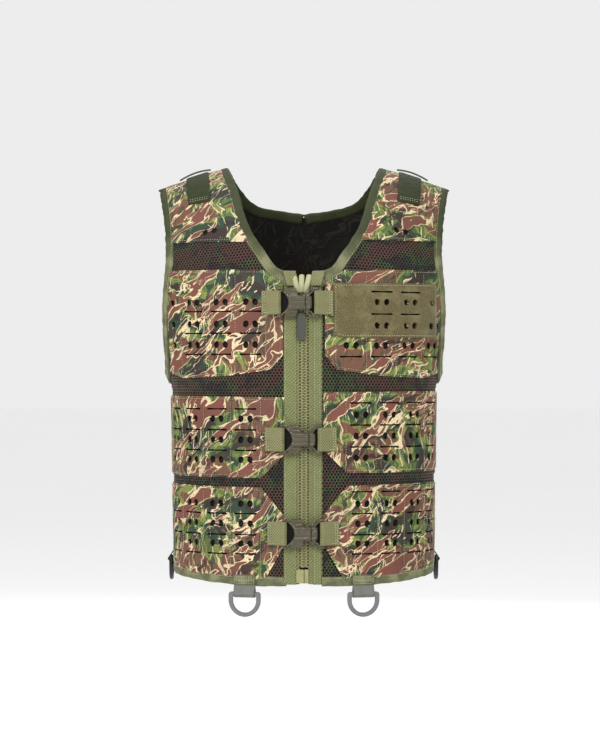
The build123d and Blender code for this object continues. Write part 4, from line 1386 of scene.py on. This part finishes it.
class VEST_OT_hardware(bpy.types.Operator):
    """Finishes and worn edges of the moulded and cast parts that come straight from the frame"""
    bl_idname = "vest.hardware"
    bl_label = "Mouldings and castings"

    def execute(self, context):
        for name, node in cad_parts.items():
            for start, finish in HARDWARE_FINISHES.items():
                if name.startswith(start) and not name.startswith("buckle_webbing"):
                    node.data.materials.clear()
                    node.data.materials.append(finish_of(context, finish))
                    edge = node.modifiers.new("worn_edges", "BEVEL")
                    edge.width, edge.segments, edge.limit_method = 0.45 * MM, 2, "ANGLE"
        return {"FINISHED"}


RING_ACROSS, HEM_AT_RING, RING_LEVEL = 73, -509.8, -520.5
SIDE_RING_BACK, SIDE_RING_LEVEL = 31, -486
# a box of stitches, each row from (up, across) to (up, across) in mm
TAB_SEWING = [((13, -12.5), (13, 12.5)), ((21.5, -12.5), (21.5, 12.5)), ((13, -12.5), (21.5, -12.5)),
              ((13, 12.5), (21.5, 12.5)), ((17, -12.5), (17, 12.5))]


def tab(context, name, foot, out, tangent, lap, seat, material, cover):
    """A webbing tab looped round a ring's bar; when cover is set, a tape over its two ends and a box of stitches sew
    them to the hem.
    """
    out, tangent = np.array(out, float), np.array(tangent, float)
    turn = [(3.8 * cos(radians(a)), -3.8 * sin(radians(a))) for a in range(0, 181, 15)]
    path = [(2.1 - seat, lap), (2.1 - seat, 13), *turn, (0.7 - seat, 13), (0.7 - seat, lap - 1)]
    path = np.array([foot + out * a * MM + np.array((0, 0, 1)) * b * MM for a, b in curve_through(path, 2.0)])
    loop = strap(name + "_loop", path, tangent, 27.5 * MM, 1.35 * MM, finish_of(context, material))
    if not cover:
        return [loop]
    patch = [foot + out * (3.35 - seat) * MM + np.array((0, 0, 1)) * b * MM for b in (11.5, 14, 17, 20, 23)]
    top = strap(name + "_cover", patch, tangent, 28.5 * MM, 0.9 * MM, finish_of(context, "sage_grosgrain"))
    seams = []
    for row in TAB_SEWING:
        points = [foot + out * (3.85 - seat) * MM + tangent * a * MM + np.array((0, 0, 1)) * b * MM for b, a in row]
        seams.append((np.array(points), np.array([out, out])))
    thread = sewn(context, name + "_stitches", seams)
    return [loop, top, thread]


class VEST_OT_ring_tabs(bpy.types.Operator):
    """Webbing tabs of the four D-rings"""
    bl_idname = "vest.ring_tabs"
    bl_label = "Ring tabs"

    def execute(self, context):
        for side, sign in SIDES.items():
            s, v = flat(sign * RING_ACROSS * MM, HEM_AT_RING * MM)
            near, far = lay(s - 5 * MM, v), lay(s + 5 * MM, v)
            tangent = (far - near) / np.linalg.norm(far - near)
            out = np.array((tangent[1], -tangent[0], 0))
            foot = lay(s, v) + out * 5.3 * MM
            foot[2] = RING_LEVEL * MM
            pieces = tab(context, f"ring_tab_front_{side}", foot, out, tangent, 24, 1.85, "grey_nylon_webbing", True)
            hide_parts(f"ring_tab_front_{side}")
            for piece in pieces:
                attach(piece, f"front_{side}")
            low, high = (np.array(corner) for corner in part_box(f"d_ring_side_{side}"))
            foot = (low + high) / 2
            foot[1:] = SIDE_RING_BACK * MM, SIDE_RING_LEVEL * MM
            pieces = tab(context, f"ring_tab_side_{side}", foot, (sign, 0, 0), (0, sign, 0), 26, 6.1,
                         "olive_twill_webbing", False)
            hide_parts(f"ring_tab_side_{side}")
            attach(pieces[0], "back")
        return {"FINISHED"}


class VEST_OT_hang_loop(bpy.types.Operator):
    """Webbing loop below the back of the neck"""
    bl_idname = "vest.hang_loop"
    bl_label = "Hang loop"

    def execute(self, context):
        arc = curve_through([(-47, 124), (-42, 126.5), (-28, 138), (0, 143.5), (28, 138), (42, 126.5), (47, 124)], 3.0)
        path = [(a * MM, b * MM, -86 * MM) for a, b in arc]
        loop = strap("hang_loop_webbing", path, (0, 0, 1), 25 * MM, 1.6 * MM, finish_of(context, "sage_nylon_webbing"))
        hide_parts("hang_loop")
        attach(loop, "back")
        return {"FINISHED"}


# lamps by name: place and width in metres, and watts
LAMPS = [("key", (-1.5, -2.4, 1.3), 1.3, 44), ("fill", (1.9, -2.0, 0.5), 1.4, 7), ("top", (0.0, 0.6, 2.2), 1.6, 20),
         ("rear", (0.6, 2.6, 0.9), 1.6, 16), ("strip", (0.3, -2.6, 1.1), 0.35, 18)]
LAMP_TARGET, SKY_STRENGTH = (0, 0, -0.26), 0.74
FLOOR_REACH, FLOOR_LEVEL = 40.0, -0.85
CAMERA_PLACE, LENS_MM = (-0.005, -3.122, -0.246), 143.7


class VEST_OT_stage(bpy.types.Operator):
    """Pale floor, soft studio light and the camera"""
    bl_idname = "vest.stage"
    bl_label = "Floor, lights and camera"

    def execute(self, context):
        scene = context.scene
        scene.view_settings.view_transform = "Standard"
        scene.view_settings.look = "Medium High Contrast"
        world = bpy.data.worlds.new("studio")
        world.use_nodes = True
        world.node_tree.nodes["Background"].inputs["Color"].default_value = (*linear(0xfbfbfb), 1)
        world.node_tree.nodes["Background"].inputs["Strength"].default_value = SKY_STRENGTH
        scene.world = world
        size, level = FLOOR_REACH, FLOOR_LEVEL
        material, tree, shader = blank("pale_floor")
        grain = add(tree, "TexNoise", {"Scale": 40.0, "Detail": 3.0})
        wire(tree, shader, {"Base Color": layered(tree, linear(0xfefefe), (grain, 0, 1, 1.0, linear(0xfbfbfb))),
                            "Roughness": 0.8})
        floor = new_piece("floor", [(-size, -size, level), (size, -size, level), (size, size, level),
                                    (-size, size, level)], [(0, 1, 2, 3)], material, smooth=False)
        for name, place, width, watts in LAMPS:
            lamp = bpy.data.lights.new(name, "AREA")
            lamp.size, lamp.energy = width, watts
            holder = bpy.data.objects.new(name, lamp)
            holder.location = place
            holder.rotation_euler = (Vector(LAMP_TARGET) - Vector(place)).to_track_quat("-Z", "Y").to_euler()
            scene.collection.objects.link(holder)
        lens = bpy.data.cameras.new("camera")
        lens.sensor_fit, lens.sensor_width, lens.lens = "HORIZONTAL", 36.0, LENS_MM
        camera = bpy.data.objects.new("camera", lens)
        camera.location = CAMERA_PLACE
        camera.rotation_euler = (radians(90), 0, 0)
        scene.collection.objects.link(camera)
        scene.camera = camera
        return {"FINISHED"}


STEPS = (VEST_OT_stage, VEST_OT_mesh, VEST_OT_panels, VEST_OT_patch, VEST_OT_binding, VEST_OT_shoulder_webbing,
         VEST_OT_zip, VEST_OT_buckles, VEST_OT_buckle_webbing, VEST_OT_hardware, VEST_OT_ring_tabs, VEST_OT_hang_loop)


class VEST_PT_panel(bpy.types.Panel):
    """The vest's sizes, colours and building steps"""
    bl_idname = "VEST_PT_panel"
    bl_label = "Vest"
    bl_space_type = "VIEW_3D"
    bl_region_type = "UI"
    bl_category = "Vest"

    def draw(self, context):
        for group in (context.scene.vest_sizes, context.scene.vest_colours):
            box = self.layout.box()
            for name in group.__annotations__:
                box.prop(group, name)
        for step in STEPS:
            self.layout.operator(step.bl_idname)


CLASSES = (VestSizes, VestColours, *STEPS, VEST_PT_panel)


def register():
    for kind in CLASSES:
        bpy.utils.register_class(kind)
    bpy.types.Scene.vest_sizes = bpy.props.PointerProperty(type=VestSizes)
    bpy.types.Scene.vest_colours = bpy.props.PointerProperty(type=VestColours)


def unregister():
    del bpy.types.Scene.vest_colours
    del bpy.types.Scene.vest_sizes
    for kind in reversed(CLASSES):
        bpy.utils.unregister_class(kind)


def main():
    """Register the add-on's classes and build the vest."""
    register()
    for step in STEPS:
        family, name = step.bl_idname.split(".")
        getattr(getattr(bpy.ops, family), name)()
    bpy.context.view_layer.update()


if __name__ == "__main__":
    main()
